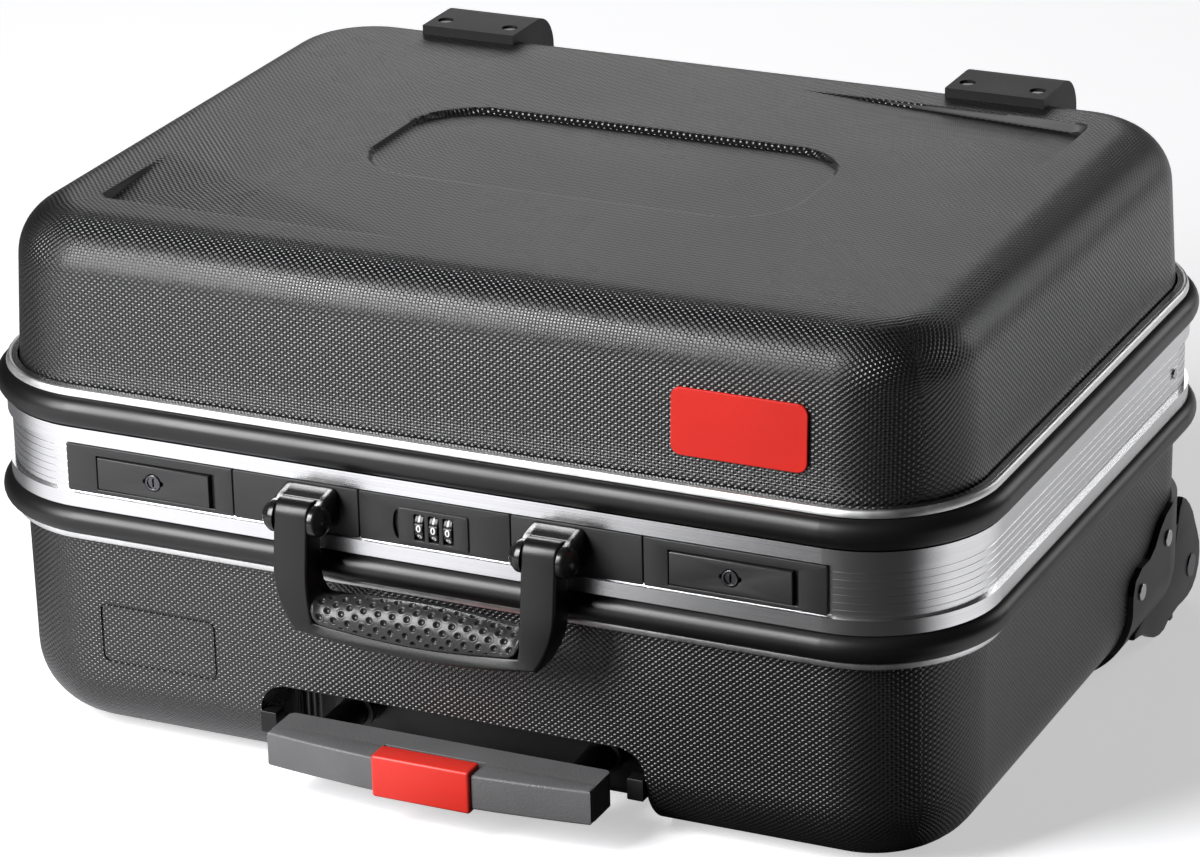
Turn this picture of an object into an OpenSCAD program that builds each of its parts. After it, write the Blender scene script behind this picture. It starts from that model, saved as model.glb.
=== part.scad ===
// Rolling hard tool case: two moulded shells in an aluminium frame, with latches,
// a number lock, a carry handle, a telescopic trolley and two wheels.
// Millimetres. +X is to the right and -Y to the front of the closed case lying on
// its base; z = 0 is the floor. The plan's centre is the origin.

/* [Frame] */
// Width of the aluminium frame
frame_w = 506; // [480:1:560]
// Depth of the aluminium frame, front to rear
frame_d = 376; // [360:1:420]
// Plan radius of the frame's corners
frame_r = 61.6; // [56:0.1:66]
// Height of the band's lower edge
band_z = 125; // [118:0.5:140]
// Height of the base part of the band, up to the parting line
base_band_h = 33; // [32:0.1:38]
// Height of the lid part of the band
lid_band_h = 7.5; // [6:0.1:12]
// Height of the smooth strip along the band's lower edge
strip_h = 7.2; // [5:0.1:7.5]
// Depth of the frame's section
frame_t = 6.3; // [5.5:0.1:8]
// Thickness of the frame's back web
back_t = 2; // [1.5:0.1:2.5]
// Depth of the band's grooved web behind its strips
web_recess = 2; // [1.5:0.1:2.4]
// Number of fine grooves along the web
groove_n = 6; // [0:1:8]
// Depth of a fine groove
groove_t = 0.2; // [0.1:0.05:0.4]
// Height of the bright lip above and below the beads
lip_h = 3; // [2:0.1:4]

/* [Beads] */
// How far the protective beads stand out of the band
bead_out = 4.4; // [3:0.1:6]
// Height of the base's bead
base_bead_h = 14.2; // [12:0.1:16]
// Height of the lid's bead
lid_bead_h = 15.6; // [13:0.1:18]

/* [Shells] */
// Wall thickness of both shells
shell_t = 2.6; // [2:0.1:3.5]
// How far the shells stand back from the band's face
shell_inset = 6.5; // [6.4:0.1:8]
// Radius along the base's lower edge
base_edge_r = 36; // [28:0.5:40]
// Draft of the base's walls, in degrees
base_draft = 0.6; // [0:0.1:1.5]
// Height of the lid's top face
lid_z = 262; // [240:1:300]
// Radius along the lid's upper edge
lid_edge_r = 28; // [18:0.5:32]
// Draft of the lid's walls, in degrees
lid_draft = 3; // [0:0.1:4]
// Length of the lid's corner pockets along X
dent_x = 157; // [100:1:170]
// Length of the lid's corner pockets along Y
dent_y = 68; // [50:1:80]
// Distance of the pockets' corners from the lid's middle along X
dent_corner_x = 200; // [180:1:204]
// Distance of the pockets' corners from the lid's middle along Y
dent_corner_y = 134; // [120:1:138]
// Depth of the pockets at their corners
dent_t = 5.5; // [3:0.1:7]
// Width of the panel sunk into the lid's top
panel_w = 224; // [180:1:230]
// Depth of that panel, front to rear
panel_d = 104; // [80:1:110]
// How deep the panel is sunk
panel_t = 2.6; // [1.5:0.1:4]

/* [Front plates] */
// Height of the plates on the front
plate_h = 24; // [23:0.1:24.5]
// Thickness of the plates
plate_t = 2.3; // [2:0.1:2.8]
// Gap between neighbouring plates
plate_gap = 0.6; // [0.3:0.1:1]
// Width of the number lock's plate
lock_plate_w = 77; // [72:0.5:80]
// Width of a handle plate
handle_plate_w = 65.4; // [60:0.2:68]
// Width of a latch plate
latch_plate_w = 89; // [86:0.5:92]

/* [Latches] */
// Length of a latch lever
lever_l = 60.4; // [56:0.2:62]
// Height of a latch lever
lever_h = 16; // [14:0.1:16.4]
// Distance of a lever's middle from the case's middle
lever_x = 147.6; // [147:0.1:149]
// Gap round a lever
lever_gap = 0.35; // [0.3:0.05:0.5]
// Radius of the key cylinder
key_r = 4; // [3.5:0.1:4.5]
// Length of the latch bolt's stroke
bolt_stroke = 6; // [4:0.5:8]

/* [Number lock] */
// Radius of the number dials
dial_r = 8; // [7:0.1:8.2]
// Width of a dial
dial_w = 4.6; // [4:0.1:4.8]
// Distance from dial to dial
dial_pitch = 7.4; // [7:0.1:8]
// Radius of the dials' axle
dial_axle_r = 1.5; // [1:0.1:2]

/* [Carry handle] */
// Distance of an arm's middle from the case's middle
arm_x = 63; // [61:0.5:66]
// Width of an arm
arm_w = 17.6; // [15:0.1:18]
// Distance of the handle's pivot in front of the band
pivot_out = 15; // [14.5:0.1:17]
// Height of the pivot above the band's lower edge
pivot_up = 23; // [22:0.1:24]
// Radius of the arms' knuckles
knuckle_r = 7; // [6:0.1:7]
// Radius of the handle's pins
handle_pin_r = 2.5; // [2:0.1:3]
// Drop from the pivot to the bottom of the handle
handle_drop = 60; // [58:0.5:66]
// Height of the handle's bar
bar_h = 25; // [23:0.5:32]

/* [Trolley] */
// Width of the pull grip
grip_w = 167; // [150:1:175]
// Height of the pull grip
grip_h = 17.2; // [15:0.1:18]
// Height of the grip's middle
grip_z = 25; // [24:0.1:26]
// How far the grip's ends stand out in front of the band
grip_out = 17; // [12:0.5:20]
// How far the grip's middle bows out beyond its ends
grip_bow = 6; // [3:0.5:8]
// Width of the release button
button_w = 50.8; // [40:0.2:56]
// Stroke of the release button
button_stroke = 4; // [3:0.5:4]
// Distance of a tube's middle from the case's middle
tube_x = 65; // [60:0.5:68]
// Radius of the outer tubes
tube_r = 10; // [9:0.1:10.5]
// Wall thickness of the tubes
tube_t = 1; // [0.8:0.1:1.2]
// Radial gap between one tube and the next
tube_gap = 0.35; // [0.3:0.05:0.5]
// Length of the outer tubes
tube_l = 288; // [260:1:296]
// Width of the grip's pocket in the base
pocket_w = 200; // [190:1:210]
// Height of that pocket
pocket_h = 46; // [42:0.5:48]
// Depth of that pocket behind the band's face
pocket_d = 50; // [46:1:56]

/* [Wheels] */
// Radius of the wheels over the tyre
wheel_r = 20.3; // [18:0.1:20.4]
// Width of the wheels
wheel_w = 20; // [16:0.5:20]
// Radius of the wheels' axles
axle_r = 3; // [2.5:0.1:4]
// Height of the axles
axle_z = 20.6; // [20.5:0.1:22]
// Distance of the axles in front of the frame's rear face
axle_in = 17; // [16:0.5:19]
// Thickness of the wheel brackets' plates
bracket_t = 3; // [2.5:0.1:4]

/* [Feet] */
// Width of a lid foot
foot_w = 52; // [44:1:56]
// Distance of a foot's middle from the case's middle
foot_x = 145; // [130:1:150]
// Height of a foot above the lid's top
foot_h = 5; // [4:0.1:7]
// Distance between a foot's screws
foot_screw_gap = 37; // [30:0.5:40]

/* [Hinges and stays] */
// Distance of a hinge's middle from the case's middle
hinge_x = 140; // [120:1:145]
// Width of a hinge
hinge_w = 60; // [50:1:66]
// Radius of the hinge knuckles
hinge_r = 2.8; // [2.4:0.1:2.9]
// Radius of the hinge pins
hinge_pin_r = 1.2; // [0.8:0.1:1.4]
// Distance of the hinge axis behind the band
hinge_out = 3.3; // [3.2:0.05:3.6]
// Length of a lid stay's arm, pin to pin
stay_l = 105; // [90:1:110]
// Width of a stay's arm
stay_w = 12; // [10:0.5:12]
// Radius of a stay's pins
stay_pin_r = 2.2; // [1.8:0.1:2.4]
// Widest angle of the open lid, in degrees
lid_open = 78; // [60:1:78]

/* [Badge] */
// Width of the plain badge on the lid
badge_w = 66; // [40:1:70]
// Height of the badge
badge_h = 32; // [20:1:36]
// Distance of the badge's middle from the case's middle
badge_x = 149; // [100:1:155]

/* [Hidden] */
$fn = 64;

// Small clearances: between fixed pieces, in a running fit, and past a moving piece
fit = 0.05;
run = 0.05;
clear = 0.3;
// Overshoot of a cut
cut = 1;
// How far a shell's core reaches into its rounded corners
core_lap = 4;

// Heights of the parting line, the shells' rims and the frame's lips
split_z = band_z + base_band_h;
band_top = split_z + lid_band_h;
base_rim = band_z - cut;
lid_rim = band_top + cut;
base_lip = band_z - base_bead_h - 2 * fit;
lid_lip = band_top + lid_bead_h + 2 * fit;
split_gap = 0.2;
base_top = split_z - split_gap;

// Faces of the band, seen from the case's middle
front_y = -frame_d / 2;
rear_y = frame_d / 2;
side_x = frame_w / 2;
web_y = front_y + web_recess;
inner_y = front_y + frame_t;

// Rivets on the band's sides
frame_rivet_y = rear_y - 69;
frame_rivet_z = band_z + base_band_h * 0.6;
frame_rivet_r = 2.6;

// Seal in the top of the base's frame
seal_w = 1.4;
seal_h = 1.6;
seal_x = -5.3;
// Width of the fine grooves, and the shares of the lip's section
groove_w = 0.5;
lip_out = 1;

// Front plates
plate_z = base_top - plate_h - 0.4;
plate_y = web_y - plate_t;
lock_plate_x = lock_plate_w / 2;
handle_plate_x = lock_plate_x + plate_gap;
latch_plate_x = handle_plate_x + handle_plate_w + plate_gap;

// Latches: lever window, pivot near the lever's left end, key cylinder and bolt
lever_z = plate_z + plate_h - lever_h - 5.4;
lever_t = 2.2;
lever_y = web_y - lever_t;
lever_pin_in = 3;
lever_pin_r = 0.8;
lever_pin_l = 1;
key_l = 9;
key_slot_w = 1;
key_slot_t = 2.5;
case_wall = 1.5;
case_t = 11;
case_x0 = -lever_l / 2 - lever_gap - case_wall;
case_x1 = lever_l / 2 + lever_gap + case_wall + 2;
bolt_t = 3.6;
bolt_h = 4;
bolt_l = 38 + bolt_stroke;
bolt_z = lever_z + lever_h - bolt_h - 1;
bolt_y = inner_y + 4.1;
bolt_tip = case_x1 + 0.9;
striker_gap = 0.6;
striker_t = 3;
striker_d = 9;
striker_x = bolt_tip + striker_gap;
striker_margin = 1.2;

// Number lock
dial_n = 3;
dial_z = plate_z + plate_h / 2 - 1.7;
lock_block_t = 0.8;
lock_block_w = 36;
lock_block_h = 17.6;
dial_out = 1;
dial_y = plate_y - lock_block_t - dial_out + dial_r;
dial_slot_w = dial_w + 2 * clear;
dial_slot_h = 13;
lock_case_w = 34;
lock_cavity_w = 2 * dial_pitch + dial_w + 2 * clear;
lock_window_h = 2 * dial_r + 2.2;
lock_case_t = 14.4;

// Carry handle: pivot, depth and outline
pivot_y = front_y - pivot_out;
pivot_z = band_z + pivot_up;
bar_z = pivot_z - handle_drop;
bar_front = pivot_y - knuckle_r - 4;
bar_back = front_y - bead_out - 2.1;
bar_bow_r = 360;
arm_curve_h = 36;
outer_lean = 13;
inner_lean = 4;
arm_in = arm_x - arm_w / 2;
arm_out = arm_x + arm_w / 2;
rim_h = 6;
pad_gap = 0.1;
pad_back = bar_back - 3.4;
ear_w = 5;
ear_r = 7;
hood_y = pivot_y + knuckle_r + 0.7;

// Trolley: three tubes on each side, each inside the last
mid_r = tube_r - tube_t - tube_gap;
inner_r = mid_r - tube_t - tube_gap;
bore_r = inner_r - tube_t;
pocket_y = front_y + pocket_d;
pocket_r = 14;
guide_t = 10;
tube_y = pocket_y - guide_t + 2;
mid_lead = 4;
collar_t = 3;
mid_l = tube_l - 6;
inner_end = tube_y + tube_l - 16;
channel_w = 180;
channel_h = 39.6;
channel_y = tube_y + tube_l + 14;
cover_t = 2.4;
holder_t = 12;
grip_front = front_y - grip_out;
grip_back = front_y + 7;
grip_end = 9;
socket_l = 6.5;
button_h = 21.3;
button_lip = 1.6;
button_gap = 0.4;
bar_t = 4.5;
bar_z_h = 8;
rod_r = 2;
rod_cavity_y = grip_front + 8;
rod_cavity_t = bar_t + button_stroke + 1.5;

// Wheels and brackets. The bracket's side outline follows the shell's side
axle_y = rear_y - axle_in;
wheel_out = side_x - 13;
wheel_x = wheel_out - wheel_w / 2;
cheek_gap = 1;
cheek_t = 4;
cap_r = 6.2;
cap_t = 1;
hub_r = 13.5;
cheek_r = 14.5;
well_x = wheel_out - wheel_w - cheek_gap - cheek_t - 1.5;
well_y = axle_y - wheel_r - 10;
well_h = 52;
rivet_r = 4.3;
rivet_t = 1;
rivet_x = side_x - shell_inset + bracket_t + rivet_t / 2 + 2 * fit;
bracket_rivets_yz = [[-104, 42], [-65.5, 55.5]];
bracket_outline = [
    [-121, 0], [-118, 12], [-116, 30], [-116, 44], [-113, 51], [-104, 54.6], [-92, 54.6],
    [-84, 58], [-77, 64.5], [-69, 69], [-58, 71.5], [10, 71.5], [10, 0]
];

// Feet
foot_front = 39;
foot_out = 9.4;
foot_drop = 30;
foot_curve_r = 19;
foot_screw_in = 27;
screw_head_r = 3.5;
screw_hole_r = 4.1;
screw_head_t = 2.4;
screw_sink = 3.4;
screw_r = 1.7;
screw_l = 12;

// Hinges and stays
hinge_y = rear_y + hinge_out;
hinge_z = split_z;
hinge_n = 5;
knuckle_gap = 0.4;
leaf_t = 1.9;
leaf_h = 18;
stay_t = 3;
stay_x = side_x - 24.5;
track_gap = 1.5;
track_t = 6;
track_h = 12;
stud_l = stay_t / 2 + track_gap + track_t - cut;
track_foot_l = 18;
stay_y = hinge_y - stay_l;
stay_slot_y0 = hinge_y - 2 * stay_l;
stay_slot_y1 = hinge_y - 2 * stay_l * cos(lid_open);
stay_slot_h = 2 * stay_pin_r + 2 * clear;
track_margin = 5;
bracket_web_z = split_z + track_h / 2 + 4;
bracket_web_t = 4;
lid_inner_x = side_x - shell_inset - shell_t - (bracket_web_z + bracket_web_t - lid_rim) * tan(lid_draft);

// Badge and label outline
badge_z = (lid_lip + lid_z - lid_edge_r) / 2 + 5;
badge_t = 1.6;
badge_r = 5;
label_w = 63;
label_h = 31;
label_x = -154;
label_z = 58;
label_line = 1.4;
label_line_t = 0.8;

// ---------- shapes that repeat ----------

// Carries a section round the case's plan: x is outward from the band's face, y is height
module around() {
    run_x = frame_w - 2 * frame_r;
    run_y = frame_d - 2 * frame_r;
    for (mx = [0, 1], my = [0, 1])
        mirror([mx, 0, 0])
            mirror([0, my, 0])
                translate([run_x / 2, run_y / 2, 0])
                    rotate_extrude(angle = 90)
                        translate([frame_r, 0])
                            children();
    for (m = [0, 1]) {
        mirror([m, 0, 0])
            translate([run_x / 2, run_y / 2, 0])
                rotate([90, 0, 0])
                    linear_extrude(run_y)
                        translate([frame_r, 0])
                            children();
        mirror([0, m, 0])
            translate([-run_x / 2, run_y / 2, 0])
                rotate([90, 0, 90])
                    linear_extrude(run_x)
                        translate([frame_r, 0])
                            children();
    }
}

// Half section of a shell's block: it stands on y = 0, h high, with a rounded far edge
module block_section(inset, h, edge_r, draft, below) {
    arc_y = h - edge_r;
    arc_x = -inset - arc_y * tan(draft) - edge_r / cos(draft);
    polygon([
        [core_lap - frame_r, -below],
        [-inset + below * tan(draft), -below],
        [arc_x + edge_r * cos(draft), arc_y + edge_r * sin(draft)],
        [arc_x, arc_y],
        [arc_x, h],
        [core_lap - frame_r, h]
    ]);
    intersection() {
        translate([arc_x, arc_y])
            circle(edge_r);
        translate([arc_x, arc_y])
            square(edge_r + cut);
    }
}

// The solid block that the section above bounds
module block(inset, h, edge_r, draft, below) {
    core_x = frame_w - 2 * (frame_r - core_lap);
    core_y = frame_d - 2 * (frame_r - core_lap);
    around()
        block_section(inset, h, edge_r, draft, below);
    translate([-core_x / 2, -core_y / 2, -below])
        cube([core_x, core_y, h + below]);
}

// The lid's block and the base's, their faces set back by skin
module lid_block(skin, below = 0) {
    translate([0, 0, lid_rim])
        block(shell_inset + skin, lid_z - lid_rim - skin, lid_edge_r - skin, lid_draft, below);
}

module base_block(skin, below = 0) {
    translate([0, 0, base_rim])
        mirror([0, 0, 1])
            block(shell_inset + skin, base_rim - skin, base_edge_r - skin, base_draft, below);
}

// A cylinder along X or Y, centred on its place
module rod_x(r, l) {
    rotate([0, 90, 0])
        cylinder(r = r, h = l, center = true);
}

module rod_y(r, l) {
    rotate([-90, 0, 0])
        cylinder(r = r, h = l);
}

// Extrudes an outline drawn in (y, z) along X, centred
module slab_x(l) {
    rotate([90, 0, 90])
        linear_extrude(l, center = true)
            children();
}

// Extrudes an outline drawn in (x, z) along Y, from y = 0 to l
module slab_y(l) {
    translate([0, l, 0])
        rotate([90, 0, 0])
            linear_extrude(l)
                children();
}

// A rectangle with round corners, centred
module round_rect(w, h, r) {
    for (x = [-1, 1], y = [-1, 1])
        translate([x * (w / 2 - r), y * (h / 2 - r)])
            circle(r);
    square([w - 2 * r, h], center = true);
    square([w, h - 2 * r], center = true);
}

// Copies on both sides of the case
module both_sides() {
    for (m = [0, 1])
        mirror([m, 0, 0])
            children();
}

// ---------- frame ----------

// The bright lip past a bead, pointing up from y = 0
module lip_section() {
    polygon([
        [-frame_t, 0], [-lip_out, 0], [-lip_out - 0.3, lip_h * 0.45],
        [-frame_t * 0.55, lip_h], [-frame_t, lip_h + 0.4]
    ]);
}

module base_frame_section() {
    web_h = base_top - band_z - strip_h;
    difference() {
        union() {
            translate([-frame_t, base_lip - fit])
                square([back_t, base_top - base_lip + fit]);
            translate([-frame_t, band_z])
                square([frame_t - web_recess, base_top - band_z]);
            translate([-frame_t, band_z])
                square([frame_t, strip_h]);
            translate([0, base_lip])
                mirror([0, 1])
                    lip_section();
        }
        for (i = [1 : groove_n])
            translate([-web_recess - groove_t, band_z + strip_h + web_h * i / (groove_n + 1)])
                square([groove_t + cut, groove_w]);
        translate([seal_x - fit, base_top - seal_h])
            square([seal_w + 2 * fit, seal_h + cut]);
    }
}

module lid_frame_section() {
    translate([-frame_t, split_z])
        square([back_t, lid_lip - split_z + fit]);
    translate([-frame_t, split_z])
        square([frame_t, lid_band_h]);
    translate([0, lid_lip])
        lip_section();
}

// Half-round bead, h high, standing on y = 0 in front of the frame's back web
module bead_section(h) {
    r = h / 2;
    root = -frame_t + back_t + fit;
    intersection() {
        translate([bead_out - r, r])
            circle(r);
        translate([root, -cut])
            square([bead_out - root + cut, h + 2 * cut]);
    }
    translate([root, fit])
        square([bead_out - r - root, h - 2 * fit]);
}

// Window in the base frame behind the lever at x, and behind the number dials
module lever_bay(x) {
    translate([x - lever_l / 2 - lever_gap, web_y - cut, lever_z - lever_gap])
        cube([lever_l + 2 * lever_gap, frame_t + 2 * cut, lever_h + 2 * lever_gap]);
}

module base_frame() {
    color("silver")
        difference() {
            around()
                base_frame_section();
            for (s = [-1, 1])
                lever_bay(s * lever_x);
            translate([-lock_case_w / 2 - fit, web_y - cut, dial_z - lock_window_h / 2 - fit])
                cube([lock_case_w + 2 * fit, frame_t + 2 * cut, lock_window_h + 2 * fit]);
        }
}

module lid_frame() {
    color("silver")
        around()
            lid_frame_section();
}

module base_bead() {
    color("black")
        around()
            translate([0, band_z - base_bead_h - fit])
                bead_section(base_bead_h);
}

module lid_bead() {
    color("black")
        around()
            translate([0, band_top + fit])
                bead_section(lid_bead_h);
}

module frame_seal() {
    color("dimgray")
        around()
            translate([seal_x, base_top - seal_h + fit])
                square([seal_w, seal_h + split_gap - 2 * fit]);
}

// Round heads on the band's sides, over the screws that hold the stays' tracks
module frame_rivets() {
    color("gainsboro")
        both_sides()
            translate([side_x - web_recess + rivet_t / 2 + fit, frame_rivet_y, frame_rivet_z])
                rod_x(frame_rivet_r, rivet_t);
}

// ---------- shells ----------

// The grip's pocket: open below and in front, with round upper corners
module pocket_cut() {
    corner_x = pocket_w / 2 - pocket_r;
    corner_z = pocket_h - pocket_r;
    translate([0, front_y - cut, 0])
        slab_y(pocket_d + cut) {
            for (s = [-1, 1])
                translate([s * corner_x, corner_z])
                    circle(pocket_r);
            translate([-corner_x, -cut])
                square([2 * corner_x, pocket_h + cut]);
            translate([-pocket_w / 2, -cut])
                square([pocket_w, corner_z + cut]);
        }
}

// Boxes round the pocket, the tubes' channel and the wheel wells, each grown by g
module pocket_box(g) {
    translate([-pocket_w / 2 - g, front_y - cut, -cut])
        cube([pocket_w + 2 * g, pocket_d + cut + g, pocket_h + cut + g]);
}

module channel_and_wells(g) {
    translate([-channel_w / 2 - g, pocket_y - cut, -cut])
        cube([channel_w + 2 * g, channel_y - pocket_y + cut + g, channel_h + cut + g]);
    both_sides()
        translate([well_x - g, well_y - g, -cut])
            cube([side_x - well_x + g, rear_y - well_y + g, well_h + cut + g]);
}

// Shallow rounded line that marks the label's place on the base's front
module label_line_cut() {
    translate([label_x, front_y + shell_inset - cut, label_z])
        slab_y(cut + label_line_t + (base_rim - label_z) * tan(base_draft))
            difference() {
                round_rect(label_w, label_h, 4);
                round_rect(label_w - 2 * label_line, label_h - 2 * label_line, 4 - label_line);
            }
}

module base_shell() {
    color("dimgray")
        difference() {
            base_block(0);
            difference() {
                base_block(shell_t, cut);
                pocket_box(shell_t);
                channel_and_wells(shell_t);
            }
            pocket_cut();
            channel_and_wells(0);
            label_line_cut();
        }
}

// Triangular dent in the lid's top: deepest at its corner, it runs out along its long side
module dent() {
    long = norm([dent_x, dent_y]);
    reach = dent_x * dent_y / long;
    intersection() {
        translate([0, 0, -dent_t - cut])
            cube([dent_x + cut, dent_y + cut, dent_t + 2 * cut]);
        rotate([0, 0, -atan(dent_y / dent_x)])
            translate([-long, reach, 0])
                rotate([atan(dent_t / reach), 0, 0])
                    translate([0, -3 * long, 0])
                        cube([3 * long, 3 * long, 2 * dent_t + 2 * cut]);
    }
}

// Both dents, at the front left and the rear right
module dents() {
    for (turn = [0, 180])
        rotate([0, 0, turn])
            translate([-dent_corner_x, -dent_corner_y, lid_z])
                dent();
}

// Room for the lid's sunk panel, from h below the lid's top
module panel_slot(h, grow) {
    translate([0, 0, lid_z - h])
        linear_extrude(h + cut)
            round_rect(panel_w + 2 * grow, panel_d + 2 * grow, panel_d / 3);
}

// Thicker places inside the lid's top, under the panel and the dents
module lid_pads() {
    panel_slot(panel_t + shell_t, shell_t);
    for (turn = [0, 180])
        rotate([0, 0, turn])
            translate([
                -dent_corner_x - shell_t, -dent_corner_y - shell_t, lid_z - dent_t - shell_t
            ])
                cube([dent_x * 0.62, dent_y * 0.66, dent_t + shell_t]);
}

module lid_shell() {
    color("dimgray")
        difference() {
            lid_block(0);
            difference() {
                lid_block(shell_t, cut);
                lid_pads();
            }
            panel_slot(panel_t, 0);
            dents();
            both_sides()
                foot_screw_places()
                    cylinder(r = screw_r + run, h = 2 * screw_l, center = true);
        }
}

// ---------- latches ----------

// Trunnions of a lever at its pivot, r thick and grown along z
module lever_pins(x, r, grow) {
    translate([x - lever_l / 2 + lever_pin_in, lever_y + lever_t / 2, lever_z - lever_pin_l - grow])
        cylinder(r = r, h = lever_h + 2 * (lever_pin_l + grow));
}

module latch_plate(side) {
    x0 = side > 0 ? latch_plate_x : -latch_plate_x - latch_plate_w;
    color("darkslategray")
        difference() {
            translate([x0, plate_y, plate_z])
                cube([latch_plate_w, plate_t, plate_h]);
            lever_bay(side * lever_x);
            translate([side * lever_x - lever_l / 2 - lever_gap, plate_y - cut, lever_z - lever_gap])
                cube([lever_l + 2 * lever_gap, plate_t + 2 * cut, lever_h + 2 * lever_gap]);
            lever_pins(side * lever_x, lever_pin_r + run, run);
        }
}

module latch_lever(side) {
    x = side * lever_x;
    color("darkslategray")
        difference() {
            union() {
                translate([x - lever_l / 2, lever_y, lever_z])
                    cube([lever_l, lever_t, lever_h]);
                lever_pins(x, lever_pin_r, 0);
            }
            translate([x, lever_y - cut, lever_z + lever_h / 2])
                rod_y(key_r + run, lever_t + 2 * cut);
        }
}

module key_cylinder(side) {
    color("gray")
        translate([side * lever_x, lever_y - 2 * fit, lever_z + lever_h / 2])
            difference() {
                rod_y(key_r, key_l);
                translate([-key_slot_w / 2, -cut, -key_r * 0.6])
                    cube([key_slot_w, key_slot_t + cut, key_r * 1.2]);
            }
}

// Closed boxes behind the levers, where the bolts slide
module latch_cases() {
    z0 = lever_z - case_wall;
    h = lever_h + 2 * case_wall;
    color("dimgray")
        for (s = [-1, 1])
            translate([s * lever_x, 0, 0])
                difference() {
                    translate([case_x0, inner_y + fit, z0])
                        cube([case_x1 - case_x0, case_t, h]);
                    translate([case_x0 + case_wall, inner_y - cut, z0 + case_wall - lever_gap])
                        cube([
                            case_x1 - case_x0 - 2 * case_wall,
                            case_t - case_wall + cut,
                            lever_h + 2 * lever_gap
                        ]);
                    translate([0, bolt_y - clear, bolt_z - clear])
                        cube([case_x1 + cut, bolt_t + 2 * clear, bolt_h + 2 * clear]);
                }
}

module latch_bolt(side) {
    color("silver")
        translate([side * lever_x + bolt_tip - bolt_l, bolt_y, bolt_z])
            cube([bolt_l, bolt_t, bolt_h]);
}

// Lid plates with an eye for each latch's bolt
module strikers() {
    eye = striker_margin;
    color("silver")
        for (s = [-1, 1])
            translate([s * lever_x + striker_x, 0, 0])
                difference() {
                    union() {
                        translate([0, inner_y + 1.8, bolt_z - 2 * eye])
                            cube([striker_t, striker_d, split_z - bolt_z + 2 * eye + cut]);
                        translate([0, inner_y + fit, split_z + fit])
                            cube([striker_t, striker_d + 1.8 - fit, lid_band_h]);
                    }
                    translate([-cut, bolt_y - eye / 2, bolt_z - eye / 2])
                        cube([striker_t + 2 * cut, bolt_t + eye, bolt_h + eye]);
                }
}

// ---------- number lock ----------

module lock_plate() {
    color("darkslategray")
        difference() {
            union() {
                translate([-lock_plate_x, plate_y, plate_z])
                    cube([lock_plate_w, plate_t, plate_h]);
                translate([-lock_block_w / 2, plate_y - lock_block_t, dial_z - lock_block_h / 2])
                    cube([lock_block_w, lock_block_t + fit, lock_block_h]);
            }
            for (i = [0 : dial_n - 1]) {
                translate([dial_place(i) - dial_slot_w / 2, plate_y - plate_t, dial_z - dial_slot_h / 2])
                    cube([dial_slot_w, 3 * plate_t, dial_slot_h]);
                translate([dial_place(i), dial_y, dial_z])
                    rod_x(dial_r + clear, dial_slot_w);
            }
        }
}

function dial_place(i) = (i - (dial_n - 1) / 2) * dial_pitch;

module lock_case() {
    color("dimgray")
        difference() {
            translate([-lock_case_w / 2, web_y + fit, dial_z - lock_window_h / 2])
                cube([lock_case_w, lock_case_t, lock_window_h]);
            translate([0, dial_y, dial_z])
                rod_x(dial_r + clear, lock_cavity_w);
            translate([-lock_cavity_w / 2, web_y - cut, dial_z - dial_slot_h / 2])
                cube([lock_cavity_w, dial_r / 2 + cut, dial_slot_h]);
            translate([0, dial_y, dial_z])
                rod_x(dial_axle_r + fit / 2, lock_case_w - 2);
        }
}

module dial_axle() {
    color("silver")
        translate([0, dial_y, dial_z])
            rod_x(dial_axle_r, lock_case_w - 2 - 2 * fit);
}

module dial(i) {
    color("black")
        translate([dial_place(i), dial_y, dial_z])
            difference() {
                rod_x(dial_r, dial_w);
                rod_x(dial_axle_r + run, dial_w + 2 * cut);
            }
}

// ---------- carry handle ----------

// Right-hand bracket: plate, hood and the two ears that carry the pin
module handle_bracket() {
    ear_profile = [
        [web_y - cut, plate_z + plate_h - 0.4],
        [pivot_y, pivot_z + ear_r],
        [pivot_y, pivot_z - ear_r],
        [web_y - cut, plate_z + 3]
    ];
    ear_dome = [
        [0, 0], [ear_r, 0], [ear_r, ear_w], [ear_r * 0.9, ear_w + 1.2],
        [ear_r * 0.6, ear_w + 2.2], [0, ear_w + 2.6]
    ];
    color("black")
        difference() {
            union() {
                translate([handle_plate_x, plate_y, plate_z])
                    cube([handle_plate_w, plate_t, plate_h]);
                translate([arm_x, 0, 0])
                    slab_x(arm_w + 2 * clear + 2 * ear_w)
                        polygon([
                            [web_y - cut, plate_z + plate_h - 0.4],
                            [hood_y, pivot_z + ear_r + 0.6],
                            [hood_y, pivot_z - ear_r],
                            [web_y - cut, plate_z + 3]
                        ]);
                for (s = [-1, 1]) {
                    translate([arm_x + s * (arm_w / 2 + clear + ear_w / 2), 0, 0])
                        slab_x(ear_w)
                            polygon(ear_profile);
                    translate([arm_x + s * (arm_w / 2 + clear), pivot_y, pivot_z])
                        rotate([0, s * 90, 0])
                            rotate_extrude()
                                polygon(ear_dome);
                }
            }
            translate([arm_x, pivot_y, pivot_z])
                rod_x(handle_pin_r + fit / 2, arm_w + 2 * clear + 2 * ear_w);
        }
}

module handle_pins() {
    color("silver")
        both_sides()
            translate([arm_x, pivot_y, pivot_z])
                rod_x(handle_pin_r, arm_w + 2 * clear + 2 * ear_w - 2 * fit);
}

// How far the arms lean in at height z, from 0 above their curve to 1 at the bar's bottom
function lean(z) = z > bar_z + arm_curve_h ? 0 : pow(1 - (z - bar_z) / arm_curve_h, 2);

// Bottom of the bar at x
function bow_z(x) = bar_z + x * x / (2 * bar_bow_r);

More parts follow.
